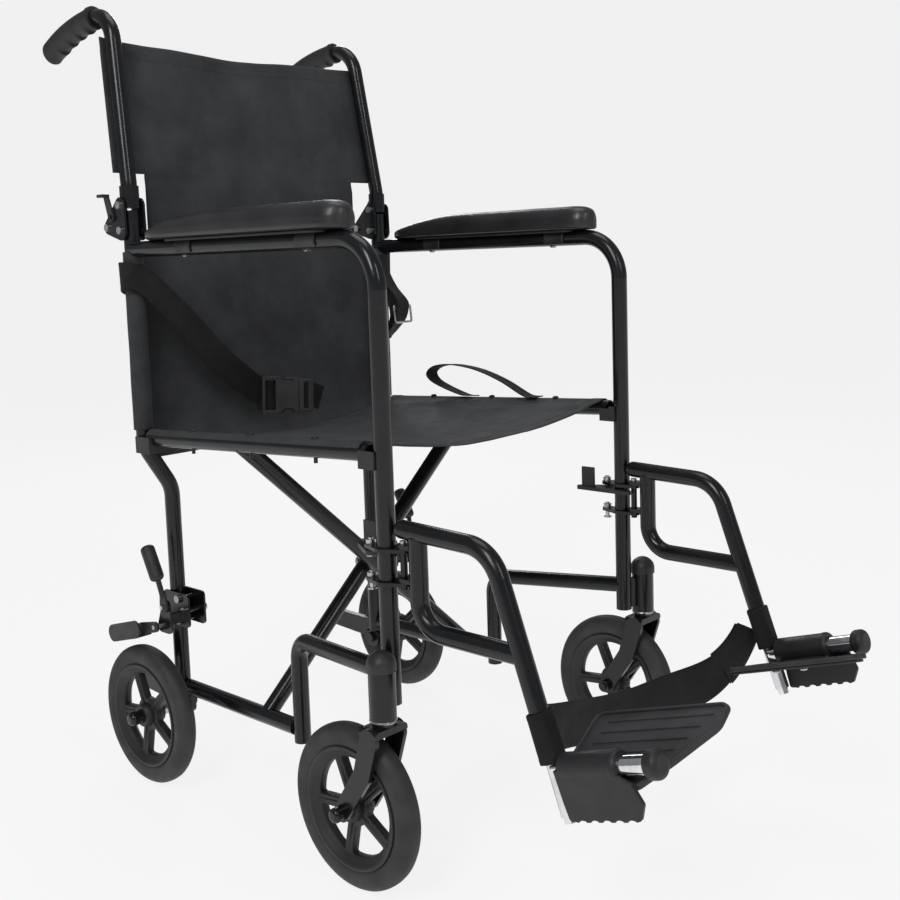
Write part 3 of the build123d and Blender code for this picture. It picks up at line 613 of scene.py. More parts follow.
def seat():
    """Seat sling: lies over both rails, sags between them, and has a hem at the front and at the rear."""
    rail_low, rail_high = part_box("left_seat_rail")
    y0, y1 = rail_low.y + 0.010, rail_high.y - 0.004
    front_z, rear_z = RAIL_FRONT[1], RAIL_REAR[1]
    length = y1 - y0
    wrap = math.radians(62)
    r = TUBE_R + 0.0009
    flat = 2 * SIDE_X
    around = r * wrap
    total = flat + 2 * around

    def point(u, v):
        y = y0 + v * length
        rail_z = front_z + (rear_z - front_z) * (y - rail_low.y) / (rail_high.y - rail_low.y)
        t = u * total
        hem = max(0.0, 1 - min(v, 1 - v) * length / 0.022)
        if t < around or t > total - around:
            s = -1 if t < around else 1
            a = (around - t if s < 0 else t - total + around) / r
            lift = r + 0.0006 * min(hem * 4, 1)
            x = s * (SIDE_X + math.sin(a) * lift)
            z = rail_z + math.cos(a) * lift
            return Vector((x, y, z))
        x = t - around - SIDE_X
        k = x / SIDE_X
        edge = 4 * (v - 0.5) ** 2
        sag = 0.0255 * (1 - abs(k) ** 2.2) * (1 + 0.07 * edge)
        bow = 0.007 * (1 - k * k) * (1 if v < 0.5 else -1) * edge
        ripple = 0.0011 * math.sin(k * 23 + v * 9) * max(0, abs(k) - 0.72) / 0.28 * (1 - abs(k)) / 0.28
        p = Vector((x, y + bow, rail_z + r + 0.0006 * min(hem * 4, 1) - sag))
        p.z += ripple * 4 + creases(p, 9, 0.0016 * (1 - k * k), 3.1)
        return p

    obj = grid_cloth("seat_cloth", spread(0, (1, 150)), spread(0, (1, 90)), point, LIT_SEAT_CLOTH)
    keep(obj, None, "nylon", "seat_sling")
    lines = []
    for v in (0.018 / length, 1 - 0.018 / length):
        path = [point(0.03 + 0.94 * i / 300, v) + Vector((0, 0, 0.0011)) for i in range(301)]
        lines.append(stitches("seat_line", path, (0, 0, 1)))
    thread = join("seat_stitching", lines)
    keep(thread, None, "nylon")
    for piece in (obj, thread):
        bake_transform(piece)


CANE_LEAN = 36 / 234          # the canes lean back this much for each unit of height
CANE_IN = 10 / 234            # and in toward each other
CANE_FOOT = 0.810             # height where they start to lean
BACK_SPLIT = 0.762            # the two back panels meet here, behind the armrests
CUT_X = 0.186                 # inner edge of the openings beside the back hinges
CUT_LOW, CUT_HIGH = 0.722, 0.826


def rear_of_tube(z):
    """Offset of the cloth's plane from the rear tube's centre line at a height."""
    return TUBE_R + 0.0022 + max(0.0, z - CANE_FOOT) * CANE_LEAN


def bow(x, z):
    """The back gives a little to the rear between the tubes."""
    return 0.009 * (1 - min(1, abs(x) / SIDE_X) ** 2) * (0.6 + 0.4 * math.sin((z - 0.48) * 5.9))


def seams(name, point, front, routes):
    """Stitch lines that far in front of a panel; a route is (first u, first v, change in u, in v, steps)."""
    rows = []
    for u, v, du, dv, n in routes:
        path = [point(u + du * k / n, v + dv * k / n) + Vector((0, -front, 0)) for k in range(n + 1)]
        rows.append(stitches("seam", path, (0, -1, 0)))
    return join(name, rows)


def lower_back():
    """Lower panel: a sleeve round each rear tube and one flat span between them."""
    sleeve = TUBE_R + 0.0016
    turn = math.radians(300)
    us = spread(0, (0.036 / SIDE_X, 8), (1 - 0.001, 30), (2 - 0.036 / SIDE_X, 30), (2, 8))

    def point(u, z):
        if 0 < u < 2:
            low = 0.486 - 0.043 * min(1, (1 - abs(u - 1)) * 12) ** 1.3
            z = low + (z - 0.486) * (BACK_SPLIT - low) / (BACK_SPLIT - 0.486) if z < 0.6 else z
        loose = 1 + 0.16 * math.sin(z * 61) * math.sin(z * 23 + 1) + 0.22 * max(0, (z - 0.66) / 0.06)
        if u <= 0 or u >= 2:
            s = -1 if u <= 0 else 1
            a = math.pi / 2 + (-u if u <= 0 else u - 2)
            r = sleeve * (1 + 0.10 * (loose - 1) * (1 - math.cos(2 * (a - math.pi / 2))))
            return Vector((s * (SIDE_X - math.cos(a) * r), AXLE_Y + math.sin(a) * r, z))
        x = (u - 1) * SIDE_X
        p = Vector((x, AXLE_Y + rear_of_tube(z) + bow(x, z), z))
        fade = min(1, (1 - abs(u - 1)) * 7)
        diagonal = math.sin((x * 0.8 + z) * 34 + 2 * noise.noise(Vector((x * 5, z * 5, 1))))
        p.y -= fade * (creases(p, 8, 0.0022, 7.7) + 0.0007 * diagonal * max(0, (z - 0.5) / 0.26))
        return p

    def kept(u, z):
        return z < CUT_LOW or abs(u - 1) * SIDE_X < CUT_X

    cut = 1 - CUT_X / SIDE_X
    us = sorted(set([u for u in us if abs(u - cut) > 0.006 and abs(u - 2 + cut) > 0.006] + [cut, 2 - cut]))
    vs = spread(0.486, (CUT_LOW, 56), (BACK_SPLIT, 10))
    obj = grid_cloth("lower_back_cloth", us, vs, point, BACK_CLOTH, keep_face=kept)
    keep(obj, "right_frame", "nylon", "lower_back_sling")
    for side, s in SIDES:
        ends = (-turn, 0) if s < 0 else (2, 2 + turn)
        us, vs = spread(ends[0], (ends[1], 40)), spread(0.486, (CUT_LOW, 60))
        round_tube = grid_cloth(f"{side}_back_sleeve", us, vs, point, BACK_CLOTH)
        keep(round_tube, f"{side}_frame", "nylon")
    routes = [(1 + x / SIDE_X, 0.490, 0, 0.228, 160) for x in (-0.203, -0.199, 0.199, 0.203)]
    routes.append((0.02, 0.500, 1.96, 0, 320))
    thread = keep(seams("lower_back_stitching", point, 0.0010, routes), "right_frame", "nylon")
    for piece in (obj, thread):
        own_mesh(piece)


def upper_back():
    """Upper panel: behind the canes, with a doubled edge outside each and openings above the armrests."""
    edge_x = SIDE_X + 0.013
    us = spread(-1, (-0.93, 6), (-CUT_X / edge_x, 8), (CUT_X / edge_x, 64), (0.93, 8), (1, 6))
    vs = spread(BACK_SPLIT - 0.006, (CUT_HIGH, 16), (1.0, 46))

    def top(u):
        dip = math.sin(math.pi * min(1, max(0, (u + 1) / 2)) ** 0.82)
        return 1.0055 - 0.0085 * dip - 0.0015 * math.cos(u * 7)

    def point(u, v):
        z = v if v <= CUT_HIGH else CUT_HIGH + (v - CUT_HIGH) / (1.0 - CUT_HIGH) * (top(u) - CUT_HIGH)
        narrow = 1 - max(0, z - CANE_FOOT) * CANE_IN / SIDE_X
        x = u * edge_x * narrow
        rear = 0.0016 if v < CUT_HIGH else 0.0008
        p = Vector((x, AXLE_Y + rear_of_tube(z) + rear + bow(x, z), z))
        inside = max(0.0, 1 - (abs(u) / 0.95) ** 8)
        upright = math.sin(x * 96 + 3 * noise.noise(Vector((x * 4, 2, z * 3)))) * 0.0006
        p.y -= inside * (creases(p, 8, 0.0024, 1.3) + upright)
        if z > 0.985:
            p.y -= 0.0007 * min(1, (z - 0.985) / 0.003)
        return p

    def kept(u, z):
        return z > CUT_HIGH or abs(u) * edge_x < CUT_X

    obj = grid_cloth("upper_back_cloth", us, vs, point, BACK_CLOTH, 0.0019, kept)
    keep(obj, "right_back", "nylon", "upper_back_sling")
    routes = [(x / edge_x, CUT_HIGH + 0.004, 0, 0.166, 120) for x in (-0.201, -0.197, 0.197, 0.201)]
    routes.append((-0.97, 0.981, 1.94, 0, 320))
    thread = keep(seams("upper_back_stitching", point, 0.0012, routes), "right_back", "nylon")
    for piece in (obj, thread):
        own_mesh(piece)


def hinge_strips():
    """Cloth behind the join of the two back panels, in two halves."""
    for side, s in SIDES:
        def point(u, v):
            x, z = s * (0.002 + (CUT_X - 0.004) * u), 0.736 + 0.058 * v
            return Vector((x, AXLE_Y + rear_of_tube(z) + bow(x, z) + (0.0046 if s < 0 else 0.0066), z))

        obj = grid_cloth(f"{side}_back_join", spread(0, (1, 40)), spread(0, (1, 26)), point, BACK_CLOTH)
        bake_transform(obj)


# ---------------------------------------------------------------- arm pads and push grips
def arm_pad(side):
    """Moulded pad: crowned, blunt in front, running out low at the rear, with a lip over its base plate."""
    node = f"{side}_arm_pad"
    low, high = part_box(node)
    x0, y0, y1, z0 = middle(node).x, low.y, high.y, low.z
    length, half_w = y1 - y0, half(node).x
    verts, rows, per = [], 90, 40
    for i in range(rows + 1):
        e = (1 - math.cos(math.pi * i / rows)) / 2
        y = y0 + length * e
        front, rear = (y - y0) / 0.030, (y1 - y) / 0.040
        plan = min(math.sqrt(max(0, 1 - (1 - min(1, front)) ** 2.4)),
                   math.sqrt(max(0, 1 - (1 - min(1, rear)) ** 2)))
        plan = max(plan, 0.12)
        rise = min(1, (y1 - y) / 0.150)
        height = 0.0325 * (0.30 + 0.70 * math.sin(rise * math.pi / 2) ** 0.8)
        height *= 0.55 + 0.45 * math.sqrt(max(0, 1 - (1 - min(1, front * 0.9)) ** 2.6))
        w = half_w * plan
        for j in range(per):
            a = 2 * math.pi * j / per
            c, q = math.cos(a), math.sin(a)
            px = abs(c) ** 0.62 * (1 if c > 0 else -1)
            if q >= 0:
                pz = 0.0075 + (height - 0.0075) * q ** 0.78
                px *= 1 - 0.10 * q
            else:
                pz = 0.0075 * (1 - abs(q) ** 0.35)
                px *= 1 - 0.10 * abs(q)
            crease = 1 - 0.05 * math.exp(-((pz - 0.0075) / 0.0012) ** 2)
            verts.append(Vector((x0 + w * px * crease, y, z0 + pz)))
    obj = make(node + "_cover", verts, ring_faces(rows + 1, per, False, True), VINYL)
    for v in obj.data.vertices:
        v.co.z += creases(v.co, 14, 0.0005, 2.2) * (1 if v.co.z > z0 + 0.012 else 0)
    keep(sharp(obj, 60), f"{side}_frame", "vinyl", node)
    plate = [(-0.019, -length / 2 + 0.03), (0.019, -length / 2 + 0.03), (0.019, length / 2 - 0.05),
             (-0.019, length / 2 - 0.05)]
    plane = placed(Vector((x0, y0 + length / 2, z0 - 0.0012)), (1, 0, 0), (0, 1, 0))
    base = prism(f"{side}_pad_plate", rounded(plate, 0.015), plane, 0.003, PLASTIC, 0.0007)
    keep(base, f"{side}_frame", "black_plastic")

    def away(t):
        a = math.radians(-128 + 256 * t)
        return Vector((math.sin(a), 0, math.cos(a)))

    clips = []
    for k in (0.16, 0.78):
        tube_at = Vector((x0, y0 + length * k, z0 - TUBE_R))
        path = [tube_at + away(i / 32) * (TUBE_R + 0.0012) for i in range(33)]
        clips.append(section_sweep("clip", path, strap_section(0.034, 0.0022), away, PLASTIC))
    keep(sharp(join(f"{side}_pad_clips", clips), 45), f"{side}_frame", "black_plastic")


def push_grip(side):
    """Rubber grip that droops and thickens to its end, with four finger steps underneath."""
    node = f"{side}_grip"
    x = middle(node).x
    along = Vector((0, 155, -35)).normalized()
    down = Vector((0, along.z, -along.y))
    grip_l = 0.124
    start = at(x, 0.191, 1.009) + along * (0.003 - grip_l)
    rows, per = 120, 36
    verts = []
    for i in range(rows + 1):
        t = i / rows
        centre = start + along * grip_l * t + down * (0.0055 * t ** 3 - 0.0042 * math.sin(math.pi * t) ** 0.8)
        radius = 0.0140 + 0.0020 * t ** 0.8
        if t < 0.05:
            radius += 0.0016
        step = 0
        if 0.12 < t < 0.90:
            phase = (t - 0.12) / 0.78 * 4 % 1
            step = 0.0042 * (1 - phase) ** 1.3 * min(1, phase * 9)
        close = min(1, math.sqrt(max(0.02, 1 - max(0, (t - 0.965) / 0.035) ** 2)))
        for j in range(per):
            a = 2 * math.pi * j / per
            c, q = math.cos(a), math.sin(a)
            r = radius * close
            drop = q * r * (1.06 if q > 0 else 1.0) + max(0.0, q) ** 2 * step * close
            verts.append(centre + Vector((1, 0, 0)) * c * r * 0.96 + down * drop)
    obj = make(node + "_rubber", verts, ring_faces(rows + 1, per, False, True), RUBBER)
    keep(sharp(obj, 55), f"{side}_back", "grip_rubber", node)


# ---------------------------------------------------------------- footrests
def foot_axes(s, tilt):
    """Directions of a footplate: forward along its tube, inward across it, and up from it."""
    ahead = Vector((0, -math.cos(FOOT_RISE), math.sin(FOOT_RISE)))
    square = Vector((0, math.sin(FOOT_RISE), math.cos(FOOT_RISE)))
    up = square * math.cos(tilt) + Vector((s, 0, 0)) * math.sin(tilt)
    inward = up.cross(ahead) * -s
    return ahead, inward, up


def footplate(side, s):
    """Moulded footplate: sleeve on the tube, scalloped skirt outside it, and plate with its raised rim."""
    node = f"{side}_footplate"
    ahead, inward, up = foot_axes(s, PLATE_TILT[s])
    origin = Vector((s * LEG_X, FOOT_START.y, FOOT_START.z))

    def spot(u, v, w):
        return origin + ahead * u + inward * v + up * w

    outline = [(0.002, 0.018, 0.006), (0.026, 0.018, 0.003), (0.029, -0.012, 0.003), (0.108, -0.0135, 0.010),
               (0.136, 0.018, 0.030), (0.170, 0.062, 0.022), (0.1695, 0.094, 0.012), (0.003, 0.094, 0.012)]
    plane = placed(spot(0, 0, -0.0168), ahead, inward)
    top = prism("top", rounded(outline, 0.01, 7), plane, 0.0036, PLATE, 0.0009)
    low = [(0.005, 0.021, 0.006), (0.029, 0.021, 0.003), (0.031, -0.009, 0.003), (0.106, -0.0105, 0.009),
           (0.133, 0.020, 0.028), (0.1665, 0.064, 0.020), (0.1665, 0.091, 0.010), (0.006, 0.091, 0.010)]
    plane = placed(spot(0, 0, -0.0204), ahead, inward)
    under = prism("under", rounded(low, 0.01, 7), plane, 0.0028, PLATE, 0.0007)
    rim_line = [spot(u, v, -0.0146) for u, v in rounded(outline, 0.01, 7)]
    centre = spot(0.085, 0.04, -0.0146)
    rim_line = [centre + (q - centre) * 0.972 for q in rim_line]
    edge = section_sweep("edge", rim_line, circle_section(0.0019, 10), up, PLATE, closed=True)
    parts = [top, under, edge]
    for k in range(4):
        v = 0.034 + 0.015 * k
        path = [spot(u, v, -0.0149) for u in (0.020 + 0.002 * k, 0.06, 0.128 + 0.009 * k)]
        parts.append(section_sweep("rib", path, circle_section(0.0010, 8), up, PLATE))

    bore, outer = 0.01015, 0.0155
    line = [(0.023, bore), (0.0226, 0.0138), (0.0236, outer - 0.0004), (0.026, outer), (0.090, outer),
            (0.0925, outer - 0.0003), (0.0938, 0.0142), (0.0940, bore)]
    parts.append(lathe("sleeve", origin, ahead, line, PLASTIC, 64))
    collar = [(0.086, outer - 0.0004), (0.0866, outer + 0.0006), (0.0905, outer + 0.0006),
              (0.0911, outer - 0.0004)]
    parts.append(lathe("collar", origin, ahead, collar, PLASTIC, 64))
    skirt = [(0.0200, 0.004), (0.0190, -0.030, 0.004), (0.0195, -0.0480, 0.004), (0.0270, -0.0484, 0.001)]
    for k in range(5):
        u = 0.0350 + 0.0150 * k
        skirt += [(u + 0.0052 * math.cos(math.radians(d)), -0.0492 + 0.0022 * math.sin(math.radians(d)), 0)
                  for d in (180, 150, 120, 90, 60, 30, 0)]
    skirt += [(0.1060, -0.0480, 0.004), (0.1150, -0.0330, 0.005), (0.1090, -0.0120, 0.004),
              (0.0942, -0.004, 0.002), (0.0935, 0.004)]
    _, outward, upright = foot_axes(s, PLATE_TILT[s] * 0.3)
    outside = placed(origin - outward * 0.0127, ahead, upright)
    parts.append(prism("skirt", rounded(skirt, 0, 4), outside, 0.0052, PLASTIC, 0.0009))
    web = [(0.0238, -0.0150), (0.0932, -0.0150), (0.0932, 0.0105), (0.0238, 0.0105)]
    plane = placed(spot(0, 0, -0.0146), ahead, inward)
    parts.append(prism("web", rounded(web, 0.003), plane, 0.0135, PLASTIC, 0.0014))
    for u in (0.040, 0.078):
        bolt = [(0, 0), (0, 0.0042), (-0.0022, 0.0046), (-0.0038, 0.0034), (-0.0042, 0)]
        parts.append(lathe("bolt", spot(u, 0.044, -0.0216), up, bolt, ZINC, 24, closed=False))
    keep(sharp(join(node + "_shell", parts), 35), f"{side}_plate", "black_plastic", node)


def heel_strap():
    """Wide strap behind the heels, folded round each leg and sewn back on itself."""
    leg = Vector((0, -0.075, -0.203)).normalized()
    start = at(0, -0.689, 0.205) - leg * 0.026
    across = Vector((0, leg.z, -leg.y))
    if across.y < 0:
        across = -across
    ends = LEG_X - 0.0138

    def run(t, lift=0.0):
        x = -ends + 2 * ends * t
        k = x / ends
        deep = 1 - abs(k) ** 4
        wave = 0.004 * math.sin(t * 9.0 + 0.6) * (1 - k * k)
        droop = 0.054 * t ** 1.2 * (1 - t ** 14)
        return start + Vector((x, 0.034 * deep + 0.013, -0.026 * deep - droop + wave)) + across * lift

    def facing(t):
        k = -1 + 2 * t
        lean = 0.30 * math.sin(t * 7 + 0.5) * (1 - k * k)
        return (across + Vector((0, 0, 0.12 + lean))).normalized()

    path = [run(k / 120) for k in range(121)]
    parts = [section_sweep("strap", path, strap_section(0.050, 0.0017), facing, STRAP)]
    for s in (-1, 1):
        ts = [0.5 + s * (0.5 - 0.085 * k / 12) for k in range(13)]
        for lift in (-0.0021, 0.0021):
            path = [run(t, lift * (1 - 0.3 * i / 12)) for i, t in enumerate(ts)]
            parts.append(section_sweep("lap", path, strap_section(0.0495, 0.0016), lambda _: across, STRAP))
        centre = start + Vector((s * LEG_X, 0, 0))
        out = Vector((1, 0, 0))
        loop = []
        for k in range(40):
            a = 2 * math.pi * k / 40
            r = 0.0127 + 0.0012 * math.cos(a * 2) + 0.0005 * math.sin(a * 5)
            toward = max(0, -s * math.cos(a)) ** 6 * 0.0025
            loop.append(centre + out * (math.cos(a) * r - s * toward) + across * math.sin(a) * r)
        n = len(loop)

        def outward(t, s=s, centre=centre, loop=loop, n=n):
            return (loop[min(n - 1, round(t * (n - 1)))] - centre).normalized()

        side = "right" if s < 0 else "left"
        webbing = strap_section(0.0495, 0.0018)
        cuff = section_sweep(f"heel_cuff_{side}", loop, webbing, outward, STRAP, closed=True)
        keep(sharp(cuff, 60), f"{side}_footrest", "webbing")
    obj = join("heel_strap_web", parts)
    keep(sharp(obj, 60), "right_footrest", "webbing", "heel_strap")
    rows = []
    for s in (-1, 1):
        for k in (0.050, 0.078):
            t = 0.5 + s * (0.5 - k)
            base = run(t, -0.0036)
            path = [base + leg * 0.021 * q / 10 for q in range(-10, 11)]
            rows.append(stitches("row", path, -across, 0.0036))
    thread = keep(join("heel_strap_stitching", rows), "right_footrest", "webbing")
    for piece in (obj, thread):
        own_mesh(piece)


# ---------------------------------------------------------------- lap belt and pull loop
BELT_W, BELT_T = 0.038, 0.0017


def tube_wrap(s, z, drop):
    """A turn of webbing round a rear tube and its cloth sleeve, loose on the outer side."""
    centre = Vector((s * SIDE_X, AXLE_Y, z))
    loop = []
    for k in range(56):
        a = 2 * math.pi * k / 56
        r = 0.0150 + 0.0045 * max(0, s * math.cos(a)) ** 2 + 0.0004 * math.sin(a * 4)
        loop.append(centre + Vector((math.cos(a) * r, math.sin(a) * r * 0.96, -s * drop * math.cos(a))))
    n = len(loop)

    def outward(t):
        flat = loop[min(n - 1, round(t * (n - 1)))] - centre
        return Vector((flat.x, flat.y, 0)).normalized()

    return section_sweep("wrap", loop, strap_section(BELT_W, BELT_T), outward, STRAP, closed=True)


def belt_front():
    return AXLE_Y - 0.0150


def right_belt():
    """Right half of the lap belt, from the tube down across the back to the female half of the buckle."""
    wrap = tube_wrap(-1, 0.684, -0.006)
    y = belt_front()
    path = smooth_path([(-0.232, AXLE_Y - 0.0135, 0.694), (-0.208, y - 0.0030, 0.676),
                        (-0.160, y - 0.006, 0.628), (-0.115, y - 0.004, 0.580), (-0.072, y - 0.006, 0.542),
                        (-0.036, y - 0.002, 0.518), (-0.020, y + 0.001, 0.512)], 12)
    run = section_sweep("run", path, strap_section(BELT_W, BELT_T),
                        lambda t: Vector((0.10 * math.sin(t * 8), -1, 0.16 * math.sin(t * 6 + 1))), STRAP)
    obj = join("belt_right_web", [wrap, run])
    keep(sharp(obj, 60), "right_frame", "webbing", "belt_right")


def buckle():
    """Side-release buckle: a waisted shell with a slot for its webbing, and the half that clips into it."""
    centre = Vector((0.000, belt_front() - 0.0165, 0.5105))
    facing, turn = Vector((-0.34, -1, 0.10)).normalized(), math.radians(4)
    level = Vector((-facing.y, facing.x, 0)).normalized()
    upright = level.cross(facing)
    along = level * math.cos(turn) + upright * math.sin(turn)
    tall = upright * math.cos(turn) - level * math.sin(turn)
    plane = placed(centre, along, tall)

    def spot(u, v, out):
        return centre + along * u + tall * v + facing * out

    def mirrored(half):
        return half + [(u, -v, *r) for u, v, *r in half[::-1]]

    shell = mirrored([(-0.040, -0.0265, 0.004), (-0.015, -0.0285, 0.003), (-0.007, -0.0205, 0.004),
                      (0.006, -0.0205, 0.004), (0.010, -0.0265, 0.002), (0.0155, -0.0265, 0.002)])
    slot = mirrored([(-0.0350, -0.0210), (-0.0200, -0.0215)])
    parts = [prism("shell", rounded(shell, 0.002), plane, 0.0112, PLATE, 0.0016, [rounded(slot, 0.0015)])]
    male = mirrored([(0.0160, -0.0245, 0.002), (0.0385, -0.0240, 0.004)])
    bar = mirrored([(0.0240, -0.0195), (0.0305, -0.0195)])
    parts.append(prism("male", rounded(male, 0.003), plane, 0.0086, PLATE, 0.0014, [rounded(bar, 0.0012)]))
    waist = [(-0.0385, 0.0245), (-0.016, 0.0262), (-0.008, 0.0187), (0.005, 0.0187), (0.009, 0.0245)]
    for e in (-1, 1):
        prong = [(-0.006, e * 0.0225), (0.006, e * 0.0225), (0.018, e * 0.0200), (0.018, e * 0.0240),
                 (0.004, e * 0.0268), (-0.006, e * 0.0262)]
        line = rounded(prong if e > 0 else prong[::-1], 0.0015)
        parts.append(prism("prong", line, plane, 0.0060, PLATE, 0.0010))
        edge = [spot(u, v * e, 0.0054) for u, v in waist]
        parts.append(section_sweep("rib", edge, circle_section(0.0008, 8), facing, PLATE))
    obj = join("buckle_halves", parts)
    keep(sharp(obj, 40), "right_frame", "black_plastic", "buckle")
    through = ((-0.046, -0.003), (-0.036, -0.001), (-0.027, 0.0015), (-0.018, -0.002))
    through = smooth_path([spot(u, 0, out) for u, out in through], 8)
    beyond = [spot(u, 0, out) for u, out in ((0.022, -0.002), (0.0275, 0.001), (0.036, -0.002))]
    beyond += [(0.052, belt_front() - 0.008, 0.5065), (0.074, belt_front() - 0.003, 0.4985)]
    beyond = smooth_path(beyond, 8)
    ends = [section_sweep("end", line, strap_section(width, BELT_T), facing, STRAP)
            for line, width in ((through, 0.041), (beyond, 0.037))]
    keep(sharp(join("buckle_webbing", ends), 60), "right_frame", "webbing")


def left_belt():
    """Left half of the lap belt: it hangs in a loose bow from its tube, with a wire slider on it."""
    y = belt_front()
    wrap = tube_wrap(1, 0.694, -0.004)
    keep(sharp(join("belt_left_wrap", [wrap]), 60), "left_frame", "webbing")
    x, wire = SIDE_X - 0.010, 0.0034
    bow_out = smooth_path([(x, y + 0.001, 0.704), (x, y - 0.006, 0.686), (x, y - 0.021, 0.664),
                           (x, y - 0.043, 0.643), (x, y - 0.047, 0.630), (x, y - 0.040, 0.610),
                           (x, y - 0.024, 0.594), (x, y - 0.006, 0.580)], 10)
    front = section_sweep("front", bow_out, strap_section(0.030, BELT_T), (0.15, -1, 0), STRAP)
    straight = smooth_path([(x, y - 0.004, 0.578), (x, y - 0.018, 0.596), (x, y - 0.030, 0.618),
                            (x, y - 0.020, 0.650), (x, y + 0.001, 0.690)], 10)
    rear = section_sweep("rear", straight, strap_section(0.030, BELT_T), (0.15, -1, 0), STRAP)
    corners, hole = ([(-w, -h), (w, -h), (w, h), (-w, h)]
                     for w, h in ((0.0195, 0.0145), (0.0195 - wire, 0.0145 - wire)))
    plane = placed(Vector((x, y - 0.0455, 0.619)), (1, 0, 0), (0, 0.10, 1))
    slider = prism("slider", rounded(corners, 0.005), plane, 0.0026, ZINC, 0.0010, [rounded(hole, 0.003)])
    obj = join("belt_left_web", [front, rear, slider])
    keep(sharp(obj, 50), "left_frame", "webbing", "belt_left")
    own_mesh(obj)


def rail_top(y):
    """Height of the seat cloth's top over a rail, at a length position counted from the rear axle."""
    (y0, z0), (y1, z1) = RAIL_FRONT, RAIL_REAR
    return z0 + (z1 - z0) * (y - y0) / (y1 - y0) + TUBE_R + 0.0024


def pull_loop():
    """Flat webbing loop screwed to the left seat rail; lifting it folds the chair."""
    x = SIDE_X - 0.001
    spots = [(-0.324, 0.0004), (-0.312, 0.0010), (-0.300, 0.0050), (-0.262, 0.0240), (-0.215, 0.0400),
             (-0.165, 0.0480), (-0.128, 0.0460), (-0.110, 0.0360), (-0.116, 0.0240), (-0.140, 0.0130),
             (-0.168, 0.0040), (-0.182, 0.0010), (-0.196, 0.0008)]
    path = smooth_path([(x - 0.004 * math.sin(i * 0.5), AXLE_Y + y, rail_top(y) + lift)
                        for i, (y, lift) in enumerate(spots)], 9)
    n = len(path)

    def normal(t):
        i = round(t * (n - 1))
        ahead = (path[min(i + 1, n - 1)] - path[max(i - 1, 0)]).normalized()
        return Vector((0.10 * math.sin(t * 5), -ahead.z, ahead.y))

    obj = section_sweep("pull_loop_web", path, strap_section(0.0245, 0.0017), normal, STRAP)
    keep(sharp(obj, 60), "brace_b", "webbing", "pull_loop")


# ---------------------------------------------------------------- small fixings
def fixings():
    """Screw heads on the seat rails, washers under the caster housings, bolt heads under the armrests."""
    head = [(0.0001, 0), (0.0001, 0.0044), (0.0010, 0.0046), (0.0022, 0.0036), (0.0028, 0.0019),
            (0.0022, 0.0012), (0.0018, 0)]
    for side, s in SIDES:
        heads = []
        for t in (0.22, 0.5, 0.78):
            y = RAIL_FRONT[0] + t * (RAIL_REAR[0] - RAIL_FRONT[0])
            spot = at(s * SIDE_X, y, rail_top(y) - 0.0008)
            heads.append(lathe("head", spot, (0, 0, 1), head, PLASTIC, 20, closed=False))
        obj = join(f"{side}_seat_screws", heads)
        keep(sharp(obj, 35), "brace_b" if s > 0 else "brace_a", "black_plastic")
        ring = [(0.2055, 0.0126), (0.2055, 0.0148), (0.2070, 0.0156), (0.2086, 0.0150), (0.2086, 0.0126)]
        stem = at(s * 0.249, -0.479, 0)
        washer = lathe(f"{side}_stem_washer", stem, (0, 0, 1), ring, ZINC, 48)
        keep(sharp(washer, 35), f"{side}_caster_fork", "zinc_steel")
        spots = [at(s * SIDE_X, y, ARM_Z - TUBE_R + 0.0005) for y in (-0.120, -0.355)]
        bolts = [lathe("head", spot, (0, 0, -1), head, ZINC, 20, closed=False) for spot in spots]
        obj = join(f"{side}_pad_bolts", bolts)
        keep(sharp(obj, 35), f"{side}_frame", "zinc_steel")


# ---------------------------------------------------------------- camera and light
def camera():
    """Camera at the angle, height and distance of a standing viewer ahead of the right front caster."""
    cam = bpy.data.cameras.new("camera")
    obj = new_object("camera", cam)
    bpy.context.scene.camera = obj
    yaw, pitch, roll = math.radians(47.84), math.radians(-6.54), math.radians(-1.677)
    ahead = Vector((math.sin(yaw) * math.cos(pitch), math.cos(yaw) * math.cos(pitch), math.sin(pitch)))
    right = Vector((math.cos(yaw), -math.sin(yaw), 0))
    up = right.cross(ahead)
    side = right * math.cos(roll) + up * math.sin(roll)
    top = up * math.cos(roll) - right * math.sin(roll)
    frame_of = Matrix((side, top, -ahead)).transposed().to_4x4()
    obj.matrix_world = Matrix.Translation(at(-1.0830, -1.3839, 0.6942)) @ frame_of
    cam.sensor_width, cam.lens = 36, 47.07
    cam.shift_x, cam.shift_y = -0.0295, -0.0576
    cam.clip_start, cam.clip_end = 0.05, 60


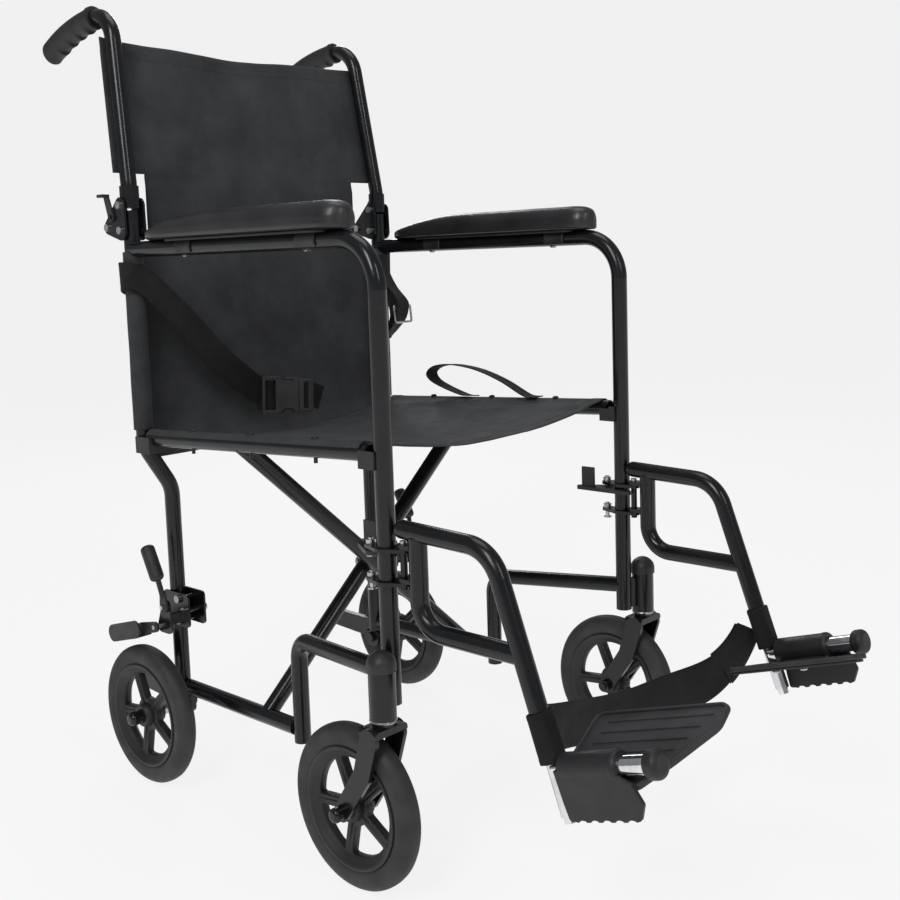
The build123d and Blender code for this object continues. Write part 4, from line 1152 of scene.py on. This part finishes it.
def backdrop():
    """Even soft light from all round, and a paper tone where the camera sees past the floor."""
    world = bpy.data.worlds.new("studio")
    world.use_nodes = True
    tree = world.node_tree
    soft = tree.nodes["Background"]
    soft.inputs["Color"].default_value = (0.95, 0.97, 1.0, 1)
    soft.inputs["Strength"].default_value = 0.26
    paper = tree.nodes.new("ShaderNodeBackground")
    paper.inputs["Color"].default_value = (0.877, 0.877, 0.877, 1)
    rays, pick = tree.nodes.new("ShaderNodeLightPath"), tree.nodes.new("ShaderNodeMixShader")
    tree.links.new(rays.outputs["Is Camera Ray"], pick.inputs[0])
    tree.links.new(soft.outputs[0], pick.inputs[1])
    tree.links.new(paper.outputs[0], pick.inputs[2])
    tree.links.new(pick.outputs[0], tree.nodes["World Output"].inputs["Surface"])
    bpy.context.scene.world = world
    bpy.context.scene.view_settings.view_transform = "Standard"


def lamp(name, place, size, power):
    """Rectangular lamp turned to the middle of the chair."""
    light = bpy.data.lights.new(name, "AREA")
    light.shape, light.size, light.size_y, light.energy = "RECTANGLE", size[0], size[1], power
    obj = new_object(name, light)
    obj.location = place
    obj.rotation_mode = "QUATERNION"
    obj.rotation_quaternion = (Vector((0, 0, 0.5)) - Vector(place)).to_track_quat("-Z", "Y")


def lit_floor():
    """Floor in the backdrop's tone that still takes the chair's shadow."""
    ground = new_material("studio_floor", (0.12, 0.12, 0.12), 0.9, specular=0.0)
    shader_of(ground).inputs["Emission Color"].default_value = (0.845, 0.845, 0.845, 1)
    shader_of(ground).inputs["Emission Strength"].default_value = 1.0
    floor = make("floor", [(-60, -60, 0), (60, -60, 0), (60, 60, 0), (-60, 60, 0)], [(0, 1, 2, 3)], ground)
    floor.location.z = -0.0005


dress_cad()
wheels()
seat()
lower_back()
upper_back()
hinge_strips()
for side, s in SIDES:
    arm_pad(side)
    push_grip(side)
    footplate(side, s)
heel_strap()
right_belt()
buckle()
left_belt()
pull_loop()
fixings()
camera()
backdrop()
lamp("key", (-2.4, -1.0, 2.6), (0.8, 1.7), 44)
lamp("strip", (-0.5, -3.0, 2.3), (0.35, 1.5), 15)
lamp("top", (0.3, 0.2, 3.2), (1.6, 1.6), 16)
lamp("rim", (2.0, 2.4, 2.0), (0.5, 1.7), 16)
lit_floor()
